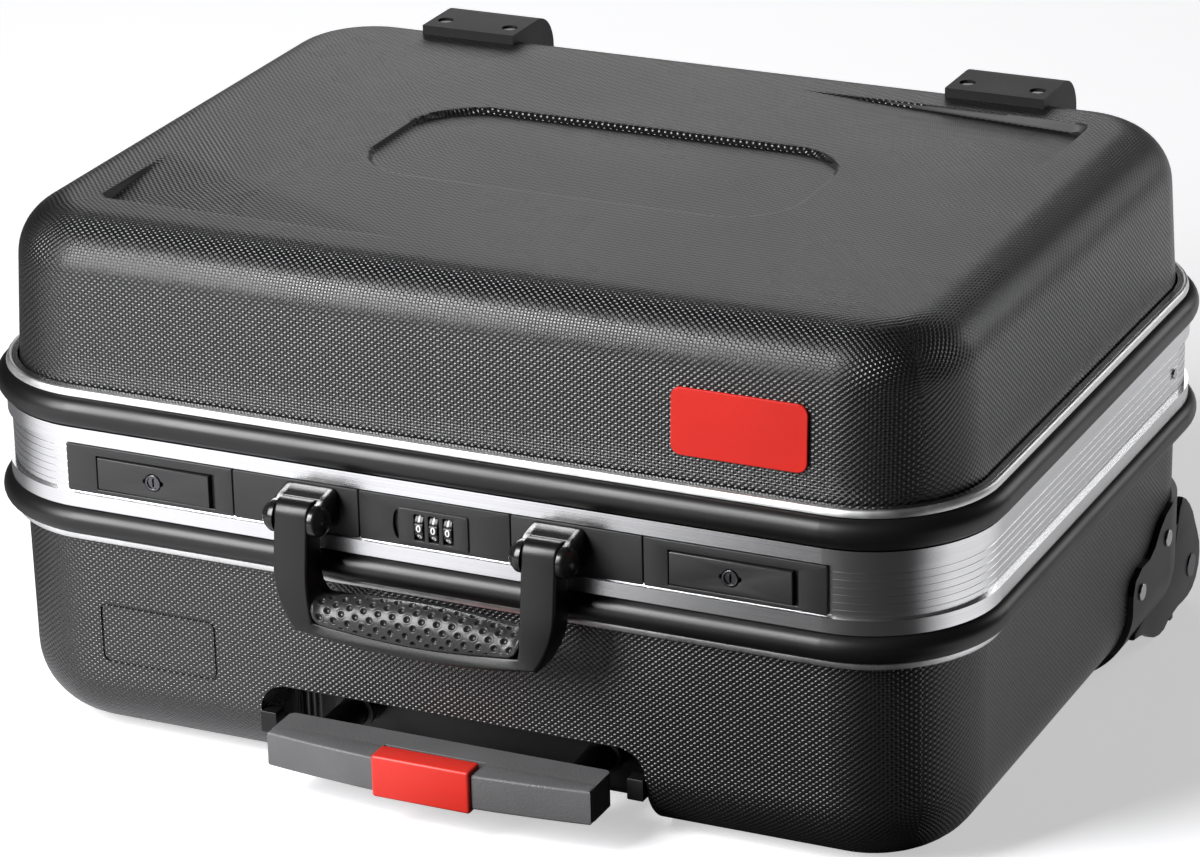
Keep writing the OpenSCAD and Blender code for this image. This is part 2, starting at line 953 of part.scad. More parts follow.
// Front outline of the handle in (x, z), raised by up at its bowed bottom: its sides
// stand at x = half above their curve and lean in by side_lean below it
module handle_outline(up, half, side_lean, top) {
    n = 10;
    foot = half - side_lean * lean(bow_z(half) + up + 1.5) - 2.5;
    bow = [for (i = [-n : n]) [foot * i / n, bow_z(foot * i / n) + up]];
    low = bow_z(half) + up + 1.5;
    side = [for (i = [0 : n]) let (z = low + (top - low) * pow(i / n, 1.5)) [half - side_lean * lean(z), z]];
    left = [for (i = [n : -1 : 0]) [-side[i].x, side[i].y]];
    polygon(concat(bow, side, left));
}

// Side outline of an arm in (y, z), from the knuckle down to the bar
module arm_profile() {
    translate([pivot_y, pivot_z])
        circle(knuckle_r);
    polygon([
        [pivot_y - knuckle_r, pivot_z],
        [bar_front + 1, pivot_z - 20],
        [bar_front, bar_z + bar_h],
        [bar_front, bar_z + 9],
        [bar_front + 4, bar_z],
        [bar_back - 6, bar_z],
        [bar_back, bar_z + 8],
        [bar_back, bar_z + bar_h - 4],
        [bar_back - 2.6, bar_z + bar_h + 6],
        [pivot_y + 5.4, pivot_z - 12],
        [pivot_y + knuckle_r, pivot_z]
    ]);
}

module carry_handle() {
    color("black")
        difference() {
            intersection() {
                slab_x(2 * arm_out)
                    arm_profile();
                translate([0, bar_front - cut, 0])
                    slab_y(bar_back - bar_front + 2 * cut)
                        handle_outline(0, arm_out, outer_lean, pivot_z + knuckle_r + cut);
            }
            translate([-arm_in, bar_front - cut, bar_z + bar_h])
                cube([2 * arm_in, bar_back - bar_front + 2 * cut, handle_drop]);
            translate([0, bar_front - cut, 0])
                slab_y(pad_back - bar_front + cut)
                    handle_outline(rim_h, arm_in, inner_lean, bar_z + bar_h + cut);
            both_sides()
                translate([arm_x, pivot_y, pivot_z])
                    rod_x(handle_pin_r + run, arm_w + 2 * cut);
        }
}

// Soft pad on the bar: round at its top front edge
module handle_pad() {
    pad_r = bar_h - rim_h - 7;
    color("dimgray")
        intersection() {
            slab_x(2 * arm_in) {
                translate([pad_back - pad_gap - 0.5, bar_z + bar_h - pad_r])
                    intersection() {
                        circle(pad_r);
                        translate([-pad_r, 0])
                            square([pad_r, pad_r]);
                    }
                translate([bar_front + 0.4, bar_z])
                    square([pad_back - pad_gap - bar_front - 0.4, bar_h - pad_r]);
                translate([pad_back - pad_gap - 0.6, bar_z])
                    square([0.6, bar_h]);
            }
            translate([0, bar_front - cut, 0])
                slab_y(pad_back - bar_front + 2 * cut)
                    handle_outline(rim_h + pad_gap, arm_in - pad_gap, inner_lean, bar_z + bar_h + cut);
        }
}

// ---------- trolley ----------

module tube_pair(r, bore, y0, l) {
    both_sides()
        translate([tube_x, y0, grip_z])
            difference() {
                rod_y(r, l);
                translate([0, -cut, 0])
                    rod_y(bore, l + 2 * cut);
            }
}

module outer_tubes() {
    color("silver")
        tube_pair(tube_r, tube_r - tube_t, tube_y, tube_l);
}

module middle_tubes() {
    color("silver")
        tube_pair(mid_r, mid_r - tube_t, tube_y - mid_lead, mid_l);
}

module middle_collars() {
    color("black")
        tube_pair(tube_r, inner_r + tube_gap, tube_y - mid_lead - collar_t - fit, collar_t);
}

module inner_tubes() {
    color("silver")
        tube_pair(inner_r, bore_r, grip_back - socket_l + fit, inner_end - grip_back + socket_l);
}

// Block at the mouth of the tubes' channel
module front_guide() {
    color("black")
        difference() {
            translate([-channel_w / 2 + fit, pocket_y + fit, cover_t + fit])
                cube([channel_w - 2 * fit, guide_t, channel_h - cover_t - 2 * fit]);
            both_sides()
                translate([tube_x, pocket_y - cut, grip_z])
                    rod_y(tube_r + fit, guide_t + 2 * cut);
        }
}

// Block that holds the outer tubes' rear ends
module rear_holder() {
    end_y = tube_y + tube_l;
    color("black")
        difference() {
            translate([-channel_w / 2 + fit, end_y - holder_t + 4, cover_t + fit])
                cube([channel_w - 2 * fit, holder_t, channel_h - cover_t - 2 * fit]);
            both_sides()
                translate([tube_x, end_y - holder_t, grip_z])
                    rod_y(tube_r + fit, holder_t + fit);
        }
}

module trolley_cover() {
    color("dimgray")
        translate([-channel_w / 2 + fit, pocket_y + fit, 0])
            cube([channel_w - 2 * fit, channel_y - pocket_y - 2 * fit, cover_t]);
}

// Plan outline of the grip in (x, y): its front bows out, its ends are cut back
module grip_outline() {
    n = 10;
    half = grip_w / 2;
    face = [for (i = [-n : n]) [
        (half - grip_end) * i / n,
        grip_front - grip_bow * (1 - pow(i / n, 2))
    ]];
    polygon(concat(
        face,
        [[half, grip_front + grip_end * 0.5], [half, grip_back - 2], [half - 2, grip_back]],
        [[2 - half, grip_back], [-half, grip_back - 2], [-half, grip_front + grip_end * 0.5]]
    ));
}

module trolley_grip() {
    z0 = grip_z - grip_h / 2;
    button_y = grip_front - grip_bow - cut;
    color("darkslategray")
        difference() {
            translate([0, 0, z0])
                linear_extrude(grip_h)
                    grip_outline();
            translate([-button_w / 2 - button_gap, button_y - cut, z0 - cut])
                cube([
                    button_w + 2 * button_gap,
                    rod_cavity_y - button_y + cut + 1.2,
                    grip_h + 2 * cut
                ]);
            translate([-tube_x - 5, rod_cavity_y, grip_z - bar_z_h / 2 - clear])
                cube([2 * tube_x + 10, rod_cavity_t, bar_z_h + 2 * clear]);
            both_sides()
                translate([tube_x, grip_back - socket_l, grip_z])
                    rod_y(inner_r + fit / 2, socket_l + cut);
        }
}

// Red push button with its cross bar, which pushes the rods in the tubes
module release_button() {
    y0 = grip_front - grip_bow - button_lip;
    color("red")
        union() {
            translate([-button_w / 2, y0, grip_z - button_h / 2])
                cube([button_w, rod_cavity_y + 1 - button_stroke - y0, button_h]);
            translate([-button_w / 2 + 2, y0 + cut, grip_z - bar_z_h / 2])
                cube([button_w - 4, rod_cavity_y + 1 - y0, bar_z_h]);
            translate([-tube_x - 4, rod_cavity_y + 0.2, grip_z - bar_z_h / 2])
                cube([2 * tube_x + 8, bar_t, bar_z_h]);
        }
}

module release_rods() {
    y0 = rod_cavity_y + 0.2 + bar_t + fit;
    color("silver")
        both_sides()
            translate([tube_x, y0, grip_z])
                rod_y(rod_r, inner_end - 30 - y0);
}

// ---------- wheels ----------

// Right-hand bracket: a skin on the shell's side, and the housing of the wheel
module wheel_bracket() {
    in_x = wheel_out - wheel_w - cheek_gap - cheek_t;
    color("black")
        difference() {
            union() {
                intersection() {
                    difference() {
                        base_block(-bracket_t);
                        base_block(-fit);
                    }
                    translate([side_x - 35, rear_y, 0])
                        slab_x(100)
                            polygon(bracket_outline);
                }
                for (x = [in_x, wheel_out + cheek_gap])
                    translate([x + cheek_t / 2, 0, 0])
                        slab_x(cheek_t)
                            cheek_outline();
                translate([in_x, well_y + fit, 2])
                    cube([wheel_out + cheek_gap + cheek_t - in_x, 4, well_h - 2 - fit]);
                translate([in_x, well_y + fit, well_h - 4])
                    cube([wheel_out + cheek_gap + cheek_t - in_x, 30, 4 - fit]);
            }
            translate([wheel_x, axle_y, axle_z])
                rod_x(axle_r + fit / 2, 4 * wheel_w);
            translate([wheel_out + cheek_gap + cheek_t + cheek_r, axle_y, axle_z])
                rod_x(cap_r + 2 * fit, 2 * cheek_r);
            translate([wheel_out - wheel_w - cheek_gap, well_y + 4 + fit, -cut])
                cube([wheel_w + 2 * cheek_gap, 4 * wheel_r, well_h - 3]);
        }
}

// Side outline of a cheek in (y, z): round at the axle
module cheek_outline() {
    translate([axle_y, axle_z])
        circle(cheek_r);
    polygon([
        [well_y + fit, 4],
        [axle_y - 2, axle_z - cheek_r + 0.2],
        [axle_y + cheek_r, axle_z],
        [axle_y + 4, well_h - 9],
        [axle_y - 8, well_h - fit],
        [well_y + fit, well_h - fit]
    ]);
}

module wheel_axles() {
    in_x = wheel_out - wheel_w - cheek_gap - cheek_t;
    out_x = wheel_out + cheek_gap + cheek_t;
    color("gray")
        both_sides() {
            translate([(in_x + out_x) / 2, axle_y, axle_z])
                rod_x(axle_r, out_x - in_x);
            translate([out_x + cap_t / 2, axle_y, axle_z])
                rod_x(cap_r, cap_t);
        }
}

module bracket_rivets() {
    color("gainsboro")
        both_sides()
            for (p = bracket_rivets_yz)
                translate([
                    rivet_x - (base_rim - p[1]) * tan(base_draft),
                    rear_y + p[0],
                    p[1]
                ])
                    rod_x(rivet_r, rivet_t);
}

module wheel_hub() {
    color("gray")
        translate([wheel_x, axle_y, axle_z])
            difference() {
                rod_x(hub_r, wheel_w);
                rod_x(axle_r + run, wheel_w + 2 * cut);
            }
}

module wheel_tyre() {
    crown = 2.4;
    color("black")
        translate([wheel_x, axle_y, axle_z])
            rotate([0, 90, 0])
                rotate_extrude()
                    polygon([
                        [hub_r + fit, -wheel_w / 2],
                        [wheel_r - crown, -wheel_w / 2],
                        [wheel_r - crown * 0.3, -wheel_w / 2 + crown * 0.3],
                        [wheel_r, -wheel_w / 2 + crown],
                        [wheel_r, wheel_w / 2 - crown],
                        [wheel_r - crown * 0.3, wheel_w / 2 - crown * 0.3],
                        [wheel_r - crown, wheel_w / 2],
                        [hub_r + fit, wheel_w / 2]
                    ]);
}

// ---------- lid fittings ----------

// Places of the screws in the right-hand foot, at the lid's top face
module foot_screw_places() {
    for (s = [-1, 1])
        translate([foot_x + s * foot_screw_gap / 2, rear_y - foot_screw_in, lid_z])
            children();
}

// Right-hand foot: a block over the lid's rear edge, flat on top and round behind
module lid_foot() {
    back = rear_y + foot_out;
    top = lid_z + foot_h;
    color("black")
        difference() {
            translate([foot_x, 0, 0])
                slab_x(foot_w) {
                    translate([back - foot_curve_r, top - foot_curve_r])
                        intersection() {
                            circle(foot_curve_r);
                            square(foot_curve_r);
                        }
                    translate([rear_y - foot_front, lid_z - foot_drop])
                        square([foot_front + foot_out - foot_curve_r, foot_drop + foot_h]);
                    translate([rear_y - foot_front, lid_z - foot_drop])
                        square([foot_front + foot_out, foot_drop + foot_h - foot_curve_r]);
                }
            lid_block(-fit, lid_z);
            foot_screw_places() {
                translate([0, 0, foot_h - screw_sink])
                    cylinder(r = screw_hole_r, h = screw_sink + cut);
                cylinder(r = screw_r + run, h = 2 * foot_h, center = true);
            }
        }
}

module foot_screws() {
    color("gray")
        both_sides()
            foot_screw_places() {
                translate([0, 0, foot_h - screw_sink + fit])
                    cylinder(r = screw_head_r, h = screw_head_t);
                translate([0, 0, foot_h - screw_sink + 2 * fit - screw_l])
                    cylinder(r = screw_r, h = screw_l);
            }
}

module badge() {
    wall_y = front_y + shell_inset + (badge_z - lid_rim) * tan(lid_draft);
    color("red")
        translate([badge_x, wall_y - fit, badge_z])
            rotate([-lid_draft, 0, 0])
                translate([0, -badge_t, 0])
                    slab_y(badge_t)
                        round_rect(badge_w, badge_h, badge_r);
}

// ---------- hinges and stays ----------

// Every second knuckle of a hinge from the first, with radius r, each longer by grow
module knuckles(first, r, grow) {
    w = hinge_w / hinge_n;
    for (i = [first : 2 : hinge_n - 1])
        translate([(i + 0.5) * w - hinge_w / 2, hinge_y, hinge_z])
            rod_x(r, w + grow);
}

// A leaf between heights z0 and z1, on a face at y0. Its own knuckles join it at knee_z
module hinge_leaf(first, y0, z0, z1, knee_z, bore) {
    difference() {
        union() {
            translate([-hinge_w / 2, y0 + fit, z0])
                cube([hinge_w, leaf_t, z1 - z0]);
            intersection() {
                knuckles(first, hinge_r * 3, -knuckle_gap);
                translate([-hinge_w / 2, y0 + fit, knee_z])
                    cube([hinge_w, hinge_y - y0, hinge_r - split_gap]);
            }
            knuckles(first, hinge_r, -knuckle_gap);
        }
        knuckles(1 - first, hinge_r + clear, knuckle_gap);
        translate([0, hinge_y, hinge_z])
            rod_x(bore, hinge_w + 2 * cut);
    }
}

module base_hinge_leaves() {
    knee_z = hinge_z - hinge_r;
    color("silver")
        for (s = [-1, 1])
            translate([s * hinge_x, 0, 0])
                hinge_leaf(
                    0, rear_y - web_recess, base_top - leaf_h, base_top, knee_z, hinge_pin_r + fit / 2
                );
}

module lid_hinge_leaves() {
    color("silver")
        for (s = [-1, 1])
            translate([s * hinge_x, 0, 0])
                hinge_leaf(1, rear_y, split_z + fit, band_top - fit, split_z + fit, hinge_pin_r + run);
}

module hinge_pins() {
    color("silver")
        for (s = [-1, 1])
            translate([s * hinge_x, hinge_y, hinge_z])
                rod_x(hinge_pin_r, hinge_w);
}

// Slotted bars inside the base's frame that guide the stays' far pins
module stay_tracks() {
    x = stay_x + stay_t / 2 + track_gap + track_t / 2;
    y0 = stay_slot_y0 - track_margin;
    y1 = stay_slot_y1 + track_margin;
    color("silver")
        both_sides()
            difference() {
                union() {
                    translate([x - track_t / 2, y0, split_z - track_h / 2])
                        cube([track_t, y1 - y0, track_h]);
                    for (y = [y0, rear_y - frame_r - track_foot_l])
                        translate([x, y, split_z - track_h / 2])
                            cube([side_x - frame_t - fit - x, track_foot_l, track_h / 2 - cut]);
                }
                translate([x, 0, split_z])
                    slab_x(track_t + 2 * cut) {
                        for (y = [stay_slot_y0, stay_slot_y1])
                            translate([y, 0])
                                circle(stay_slot_h / 2);
                        translate([stay_slot_y0, -stay_slot_h / 2])
                            square([stay_slot_y1 - stay_slot_y0, stay_slot_h]);
                    }
            }
}

// Right-hand stay: a flat arm with a stud that runs in the track
module stay_arm() {
    color("gray")
        difference() {
            union() {
                translate([stay_x, 0, split_z])
                    slab_x(stay_t) {
                        for (y = [stay_y, stay_y - stay_l])
                            translate([y, 0])
                                circle(stay_w / 2);
                        translate([stay_y - stay_l, -stay_w / 2])
                            square([stay_l, stay_w]);
                    }
                translate([stay_x + stud_l / 2, stay_y - stay_l, split_z])
                    rod_x(stay_pin_r, stud_l);
            }
            translate([stay_x, stay_y, split_z])
                rod_x(stay_pin_r + run, stay_t + 2 * cut);
        }
}

// Lid brackets that carry the stays' pivots
module stay_brackets() {
    x0 = stay_x - stay_t / 2 - clear - bracket_web_t;
    w = 16;
    color("silver")
        both_sides()
            union() {
                translate([x0, stay_y - w / 2, split_z - 6])
                    cube([bracket_web_t, w, bracket_web_z - split_z + 6 + bracket_web_t]);
                translate([x0, stay_y - w / 2, bracket_web_z])
                    cube([lid_inner_x - 2 * fit - x0, w, bracket_web_t]);
                translate([x0 + 2 + (stay_t + clear) / 2 + 1, stay_y, split_z])
                    rod_x(stay_pin_r, stay_t + clear + 4);
            }
}

// ---------- the case ----------

base_shell();
base_frame();
base_bead();
frame_seal();
frame_rivets();
latch_plate(-1);  // latch_plate_left
latch_plate(1);  // latch_plate_right
latch_cases();
mirror([1, 0, 0]) handle_bracket();  // handle_bracket_left
handle_bracket();  // handle_bracket_right
handle_pins();
lock_plate();
lock_case();
dial_axle();
outer_tubes();
front_guide();
rear_holder();
trolley_cover();
mirror([1, 0, 0]) wheel_bracket();  // wheel_bracket_left
wheel_bracket();  // wheel_bracket_right
wheel_axles();
bracket_rivets();
base_hinge_leaves();
hinge_pins();
stay_tracks();
lid_shell();
lid_frame();
lid_bead();
badge();
mirror([1, 0, 0]) lid_foot();  // lid_foot_left
lid_foot();  // lid_foot_right
foot_screws();
lid_hinge_leaves();
strikers();
stay_brackets();
carry_handle();
handle_pad();
latch_lever(-1);  // latch_lever_left
latch_lever(1);  // latch_lever_right
key_cylinder(-1);  // key_cylinder_left
key_cylinder(1);  // key_cylinder_right
latch_bolt(-1);  // latch_bolt_left
latch_bolt(1);  // latch_bolt_right
dial(0);  // dial_1
dial(1);  // dial_2
dial(2);  // dial_3
middle_tubes();
middle_collars();
inner_tubes();
trolley_grip();
release_button();
release_rods();
mirror([1, 0, 0]) wheel_hub();  // wheel_hub_left
wheel_hub();  // wheel_hub_right
mirror([1, 0, 0]) wheel_tyre();  // wheel_tyre_left
wheel_tyre();  // wheel_tyre_right
mirror([1, 0, 0]) stay_arm();  // stay_arm_left
stay_arm();  // stay_arm_right
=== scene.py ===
import math

import bmesh
import bpy
from mathutils import Matrix, Vector


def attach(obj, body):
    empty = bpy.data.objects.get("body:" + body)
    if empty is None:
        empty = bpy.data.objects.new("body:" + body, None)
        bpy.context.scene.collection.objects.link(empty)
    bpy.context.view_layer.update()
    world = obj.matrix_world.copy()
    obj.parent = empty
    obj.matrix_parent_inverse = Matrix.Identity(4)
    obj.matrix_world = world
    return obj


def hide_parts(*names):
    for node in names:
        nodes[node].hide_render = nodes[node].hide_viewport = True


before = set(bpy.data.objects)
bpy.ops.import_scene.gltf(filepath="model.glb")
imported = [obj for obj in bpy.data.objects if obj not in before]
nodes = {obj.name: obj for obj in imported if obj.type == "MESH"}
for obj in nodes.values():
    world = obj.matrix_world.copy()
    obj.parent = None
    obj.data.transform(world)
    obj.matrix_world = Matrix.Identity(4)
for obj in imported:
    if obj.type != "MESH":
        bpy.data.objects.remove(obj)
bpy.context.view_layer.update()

MM = 0.001

# The signs of a rectangle's corners, anticlockwise, and the part's two sides
CORNERS = ((1, 1), (-1, 1), (-1, -1), (1, -1))
SIDES = ((-1, "left"), (1, "right"))

# Sizes repeated from the part's source, in millimetres
FRAME_W, FRAME_D, FRAME_R = 506.0, 376.0, 61.6
CORNER_X, CORNER_Y = FRAME_W / 2 - FRAME_R, FRAME_D / 2 - FRAME_R
BAND_Z = 125.0
SHELL_T, SHELL_INSET = 2.6, 6.5
LID_RIM, LID_Z, LID_EDGE_R, LID_DRAFT = 166.5, 262.0, 28.0, math.radians(3)
LID_ARC_AT = FRAME_R - SHELL_INSET - (LID_Z - LID_EDGE_R - LID_RIM) * math.tan(LID_DRAFT) - LID_EDGE_R
BASE_EDGE_R = 36.0
BASE_ARC_AT = FRAME_R - SHELL_INSET - BASE_EDGE_R - 1
DENT_X, DENT_Y, DENT_CORNER_X, DENT_CORNER_Y, DENT_T = 157.0, 68.0, 200.0, 134.0, 5.5
DENT_R = 7.0
PANEL_W, PANEL_D, PANEL_T, PANEL_R = 224.0, 104.0, 2.6, 34.7


# ---------- materials ----------

class Tree:
    """Short calls for the shader nodes of one material or world."""

    def __init__(self, owner):
        owner.use_nodes = True
        self.owner = owner
        self.tree = owner.node_tree
        self.shader = self.tree.nodes.get("Principled BSDF")
        self.coords = self.tree.nodes.new("ShaderNodeTexCoord")

    def link(self, a, b):
        self.tree.links.new(a, b)

    def put(self, socket, value):
        if isinstance(value, bpy.types.NodeSocket):
            self.link(value, socket)
        elif value is not None:
            socket.default_value = value

    def math(self, op, a, b=None):
        n = self.tree.nodes.new("ShaderNodeMath")
        n.operation = op
        for socket, value in zip(n.inputs, (a, b)):
            self.put(socket, value)
        return n.outputs[0]

    def xyz(self, output="Object"):
        n = self.tree.nodes.new("ShaderNodeSeparateXYZ")
        self.link(self.coords.outputs[output], n.inputs[0])
        return n.outputs[0], n.outputs[1], n.outputs[2]

    def noise(self, scale, detail=2.0, rough=0.5, stretch=(1, 1, 1)):
        m = self.tree.nodes.new("ShaderNodeMapping")
        m.inputs["Scale"].default_value = stretch
        self.link(self.coords.outputs["Object"], m.inputs[0])
        n = self.tree.nodes.new("ShaderNodeTexNoise")
        n.inputs["Scale"].default_value = scale
        n.inputs["Detail"].default_value = detail
        n.inputs["Roughness"].default_value = rough
        self.link(m.outputs[0], n.inputs["Vector"])
        return n.outputs["Fac"]

    def ramp(self, fac, low, high, a, b):
        """a below low, b above high, and a straight line between them."""
        n = self.tree.nodes.new("ShaderNodeMapRange")
        n.clamp = True
        self.put(n.inputs[0], fac)
        for i, v in enumerate((low, high, a, b)):
            self.put(n.inputs[1 + i], v)
        return n.outputs[0]

    def mix(self, fac, a, b):
        n = self.tree.nodes.new("ShaderNodeMix")
        n.data_type = "RGBA"
        self.put(n.inputs[0], fac)
        for socket, value in ((n.inputs[6], a), (n.inputs[7], b)):
            if not isinstance(value, bpy.types.NodeSocket):
                value = (*value, 1.0)
            self.put(socket, value)
        return n.outputs[2]

    def bump(self, height, distance):
        n = self.tree.nodes.new("ShaderNodeBump")
        n.inputs["Strength"].default_value = 1.0
        n.inputs["Distance"].default_value = distance
        self.link(height, n.inputs["Height"])
        return n.outputs[0]

    def finish(self, color, rough, metallic=0.0, specular=0.5, normal=None):
        s = self.shader.inputs
        self.link(color, s["Base Color"])
        self.put(s["Roughness"], rough)
        s["Metallic"].default_value = metallic
        s["Specular IOR Level"].default_value = specular
        if normal is not None:
            self.link(normal, s["Normal"])
        return self.owner


def material(name):
    return Tree(bpy.data.materials.new(name))


def grey(v):
    """A grey with a trace of blue."""
    return (v, v, v * 1.03)


WEAVE_W, WEAVE_H, WEAVE_DEPTH = 3.34, 2.8, 0.17


def weave_plastic(name, gap_shade_grey, high, level, up, arc_r, arc_at):
    """Moulded plastic with a woven emboss, laid over the case like one sheet.

    The weave's grid lies on the flat face at height level and runs on down the walls, whose
    rounded edge starts at arc_at from the plan's corner centres. up is 1 above the walls."""
    t = material(name)
    x, y, z = t.xyz()
    across = t.math("SUBTRACT", t.math("ABSOLUTE", x), CORNER_X * MM)
    along = t.math("SUBTRACT", t.math("ABSOLUTE", y), CORNER_Y * MM)
    drop = t.math("MULTIPLY", t.math("SUBTRACT", level * MM, z), up)

    def unfold(place):
        out = t.math("MAXIMUM", t.math("SUBTRACT", place, arc_at * MM), 0.0)
        rest = t.math("MAXIMUM", t.math("SUBTRACT", arc_r * MM, drop), 0.0)
        arc = t.math("MULTIPLY", t.math("ARCTAN2", out, rest), arc_r * MM)
        wall = t.math("MAXIMUM", t.math("SUBTRACT", drop, arc_r * MM), 0.0)
        return t.math("ADD", t.math("ADD", t.math("MINIMUM", place, arc_at * MM), arc), wall)

    def wave(place, pitch):
        return t.math("SINE", t.math("MULTIPLY", place, 2 * math.pi / (pitch * MM)))

    front = t.math("MULTIPLY", wave(across, WEAVE_W), wave(unfold(along), WEAVE_H))
    side = t.math("MULTIPLY", wave(along, WEAVE_W), wave(unfold(across), WEAVE_H))
    is_side = t.math("GREATER_THAN", across, along)
    h = t.math("ADD", front, t.math("MULTIPLY", is_side, t.math("SUBTRACT", side, front)))
    h = t.ramp(h, -0.55, 0.55, -1.0, 1.0)
    big = t.noise(9.0, 3.0)
    fine = t.noise(1800.0, 2.0)
    height = t.math("ADD", h, t.math("MULTIPLY", fine, 0.35))
    # Painted shade: the weave's gaps take the darker grey and its raised tops the lighter one, standing in
    # for the shade between the strands; the lighter grey also tints the random clouds
    weave_gap_shade = t.ramp(h, -0.7, 0.7, 0.0, 1.0)
    color = t.mix(weave_gap_shade, grey(gap_shade_grey), grey(high))
    color = t.mix(t.ramp(big, 0.3, 0.7, 0.0, 0.2), color, grey(high))
    rough = t.ramp(t.math("SUBTRACT", big, t.math("MULTIPLY", h, 0.25)), 0.1, 0.9, 0.26, 0.38)
    return t.finish(color, rough, 0.0, 0.75, t.bump(height, WEAVE_DEPTH * MM))


def grained_plastic(name, color, rough, grain, depth, specular=0.5):
    """Moulded plastic with a fine spark-eroded grain."""
    t = material(name)
    fine = t.noise(grain, 3.0, 0.6)
    big = t.noise(24.0, 2.0)
    c = t.mix(t.ramp(big, 0.3, 0.7, 0.0, 0.6), color, tuple(v * 1.35 for v in color))
    spread = t.math("ADD", big, t.math("MULTIPLY", fine, 0.5))
    r = t.ramp(spread, 0.4, 1.1, rough - 0.04, rough + 0.05)
    return t.finish(c, r, 0.0, specular, t.bump(fine, depth))


def satin_plastic(name, color, rough, specular=0.5):
    """Smooth satin plastic with faint flow marks."""
    t = material(name)
    big = t.noise(16.0, 3.0)
    fine = t.noise(900.0, 2.0)
    c = t.mix(t.ramp(big, 0.3, 0.7, 0.0, 0.5), color, tuple(v * 1.3 for v in color))
    r = t.ramp(big, 0.3, 0.7, rough - 0.03, rough + 0.04)
    return t.finish(c, r, 0.0, specular, t.bump(fine, 0.000015))


def brushed_metal(name, color, rough):
    """Metal brushed level round the case: the fine lines change only with height."""
    t = material(name)
    streak = t.noise(1.0, 4.0, 0.7, (1.5, 1.5, 2600.0))
    cloud = t.noise(10.0, 3.0)
    mixed = t.math("ADD", t.math("MULTIPLY", streak, 0.75), t.math("MULTIPLY", cloud, 0.25))
    c = t.mix(t.ramp(mixed, 0.35, 0.65, 0.0, 1.0), tuple(v * 0.86 for v in color), color)
    r = t.ramp(mixed, 0.3, 0.7, rough + 0.06, rough - 0.04)
    tangent = t.tree.nodes.new("ShaderNodeTangent")
    tangent.direction_type = "RADIAL"
    tangent.axis = "Z"
    t.link(tangent.outputs[0], t.shader.inputs["Tangent"])
    t.shader.inputs["Anisotropic"].default_value = 0.55
    return t.finish(c, r, 1.0, 0.5, t.bump(streak, 0.00003))


def plain_metal(name, color, rough, scale=220.0):
    """Metal with a faint cloudy finish."""
    t = material(name)
    n = t.noise(scale, 3.0, 0.6)
    c = t.mix(t.ramp(n, 0.3, 0.7, 0.0, 1.0), tuple(v * 0.85 for v in color), color)
    r = t.ramp(n, 0.3, 0.7, rough - 0.04, rough + 0.06)
    return t.finish(c, r, 1.0, 0.5, t.bump(n, 0.00001))


M = {
    "lid_weave": weave_plastic("lid_weave", 0.003, 0.013, LID_Z, 1, LID_EDGE_R, LID_ARC_AT),
    "base_weave": weave_plastic("base_weave", 0.003, 0.013, 0, -1, BASE_EDGE_R, BASE_ARC_AT),
    "inside": grained_plastic("shell_inside", grey(0.022), 0.55, 700.0, 0.00005),
    "frame": brushed_metal("frame_brushed", (0.82, 0.82, 0.83), 0.20),
    "bead": satin_plastic("bead_satin", grey(0.004), 0.37),
    "seal": satin_plastic("seal_rubber", grey(0.012), 0.6),
    "plate": grained_plastic("plate_grain", grey(0.020), 0.40, 1300.0, 0.00011),
    "lever": grained_plastic("lever_satin", grey(0.026), 0.34, 1500.0, 0.00006),
    # Hidden black parts, and the painted shade in the lever gaps and the lock's scoop
    "dark": satin_plastic("hidden_black_and_gap_shade", grey(0.006), 0.5),
    "key": plain_metal("key_dark_metal", (0.13, 0.13, 0.14), 0.28),
    "steel": plain_metal("fitting_steel", (0.62, 0.62, 0.64), 0.28),
    "handle": grained_plastic("handle_satin", grey(0.005), 0.32, 1500.0, 0.00002, 0.42),
    "mount": satin_plastic("mount_gloss", grey(0.008), 0.24),
    "pad": satin_plastic("pad_soft", grey(0.022), 0.34),
    "dial": satin_plastic("dial_gloss", grey(0.006), 0.38),
    "digit": satin_plastic("digit_white", (0.82, 0.82, 0.81), 0.45),
    "tube": plain_metal("tube_anodised", (0.10, 0.10, 0.105), 0.32, 60.0),
    "grip": grained_plastic("grip_grain", grey(0.12), 0.44, 900.0, 0.00022),
    "red": satin_plastic("badge_red", (0.60, 0.014, 0.007), 0.42, 0.35),
    "button": satin_plastic("button_red", (0.66, 0.026, 0.016), 0.36),
    "hub": satin_plastic("wheel_hub", grey(0.08), 0.40),
    "tyre": grained_plastic("tyre_rubber", grey(0.014), 0.62, 600.0, 0.00006),
    "foot": grained_plastic("foot_grain", grey(0.010), 0.55, 900.0, 0.00008, 0.3),
    "bracket": grained_plastic("bracket_grain", grey(0.006), 0.36, 1200.0, 0.00005, 0.35),
    "lip": plain_metal("lip_bright", (0.90, 0.90, 0.90), 0.42, 90.0),
}

# The nodes that wear each look; a name also stands for its left and right nodes
WORN = {
    "base_weave": "base_shell", "lid_weave": "lid_shell", "seal": "frame_seal", "red": "badge",
    "frame": "base_frame lid_frame", "bead": "base_bead lid_bead", "foot": "lid_foot",
    "plate": "latch_plate lock_plate", "lever": "latch_lever", "mount": "handle_bracket",
    "bracket": "trolley_cover wheel_bracket", "handle": "carry_handle", "pad": "handle_pad",
    "dial": "dial_1 dial_2 dial_3", "tube": "outer_tubes middle_tubes inner_tubes",
    "grip": "trolley_grip", "button": "release_button", "hub": "wheel_hub", "tyre": "wheel_tyre",
    "dark": "latch_cases lock_case front_guide rear_holder middle_collars",
    "key": "handle_pins wheel_axles foot_screws key_cylinder",
    "steel": "frame_rivets dial_axle bracket_rivets base_hinge_leaves hinge_pins stay_tracks "
             "lid_hinge_leaves strikers stay_brackets latch_bolt release_rods stay_arm",
}
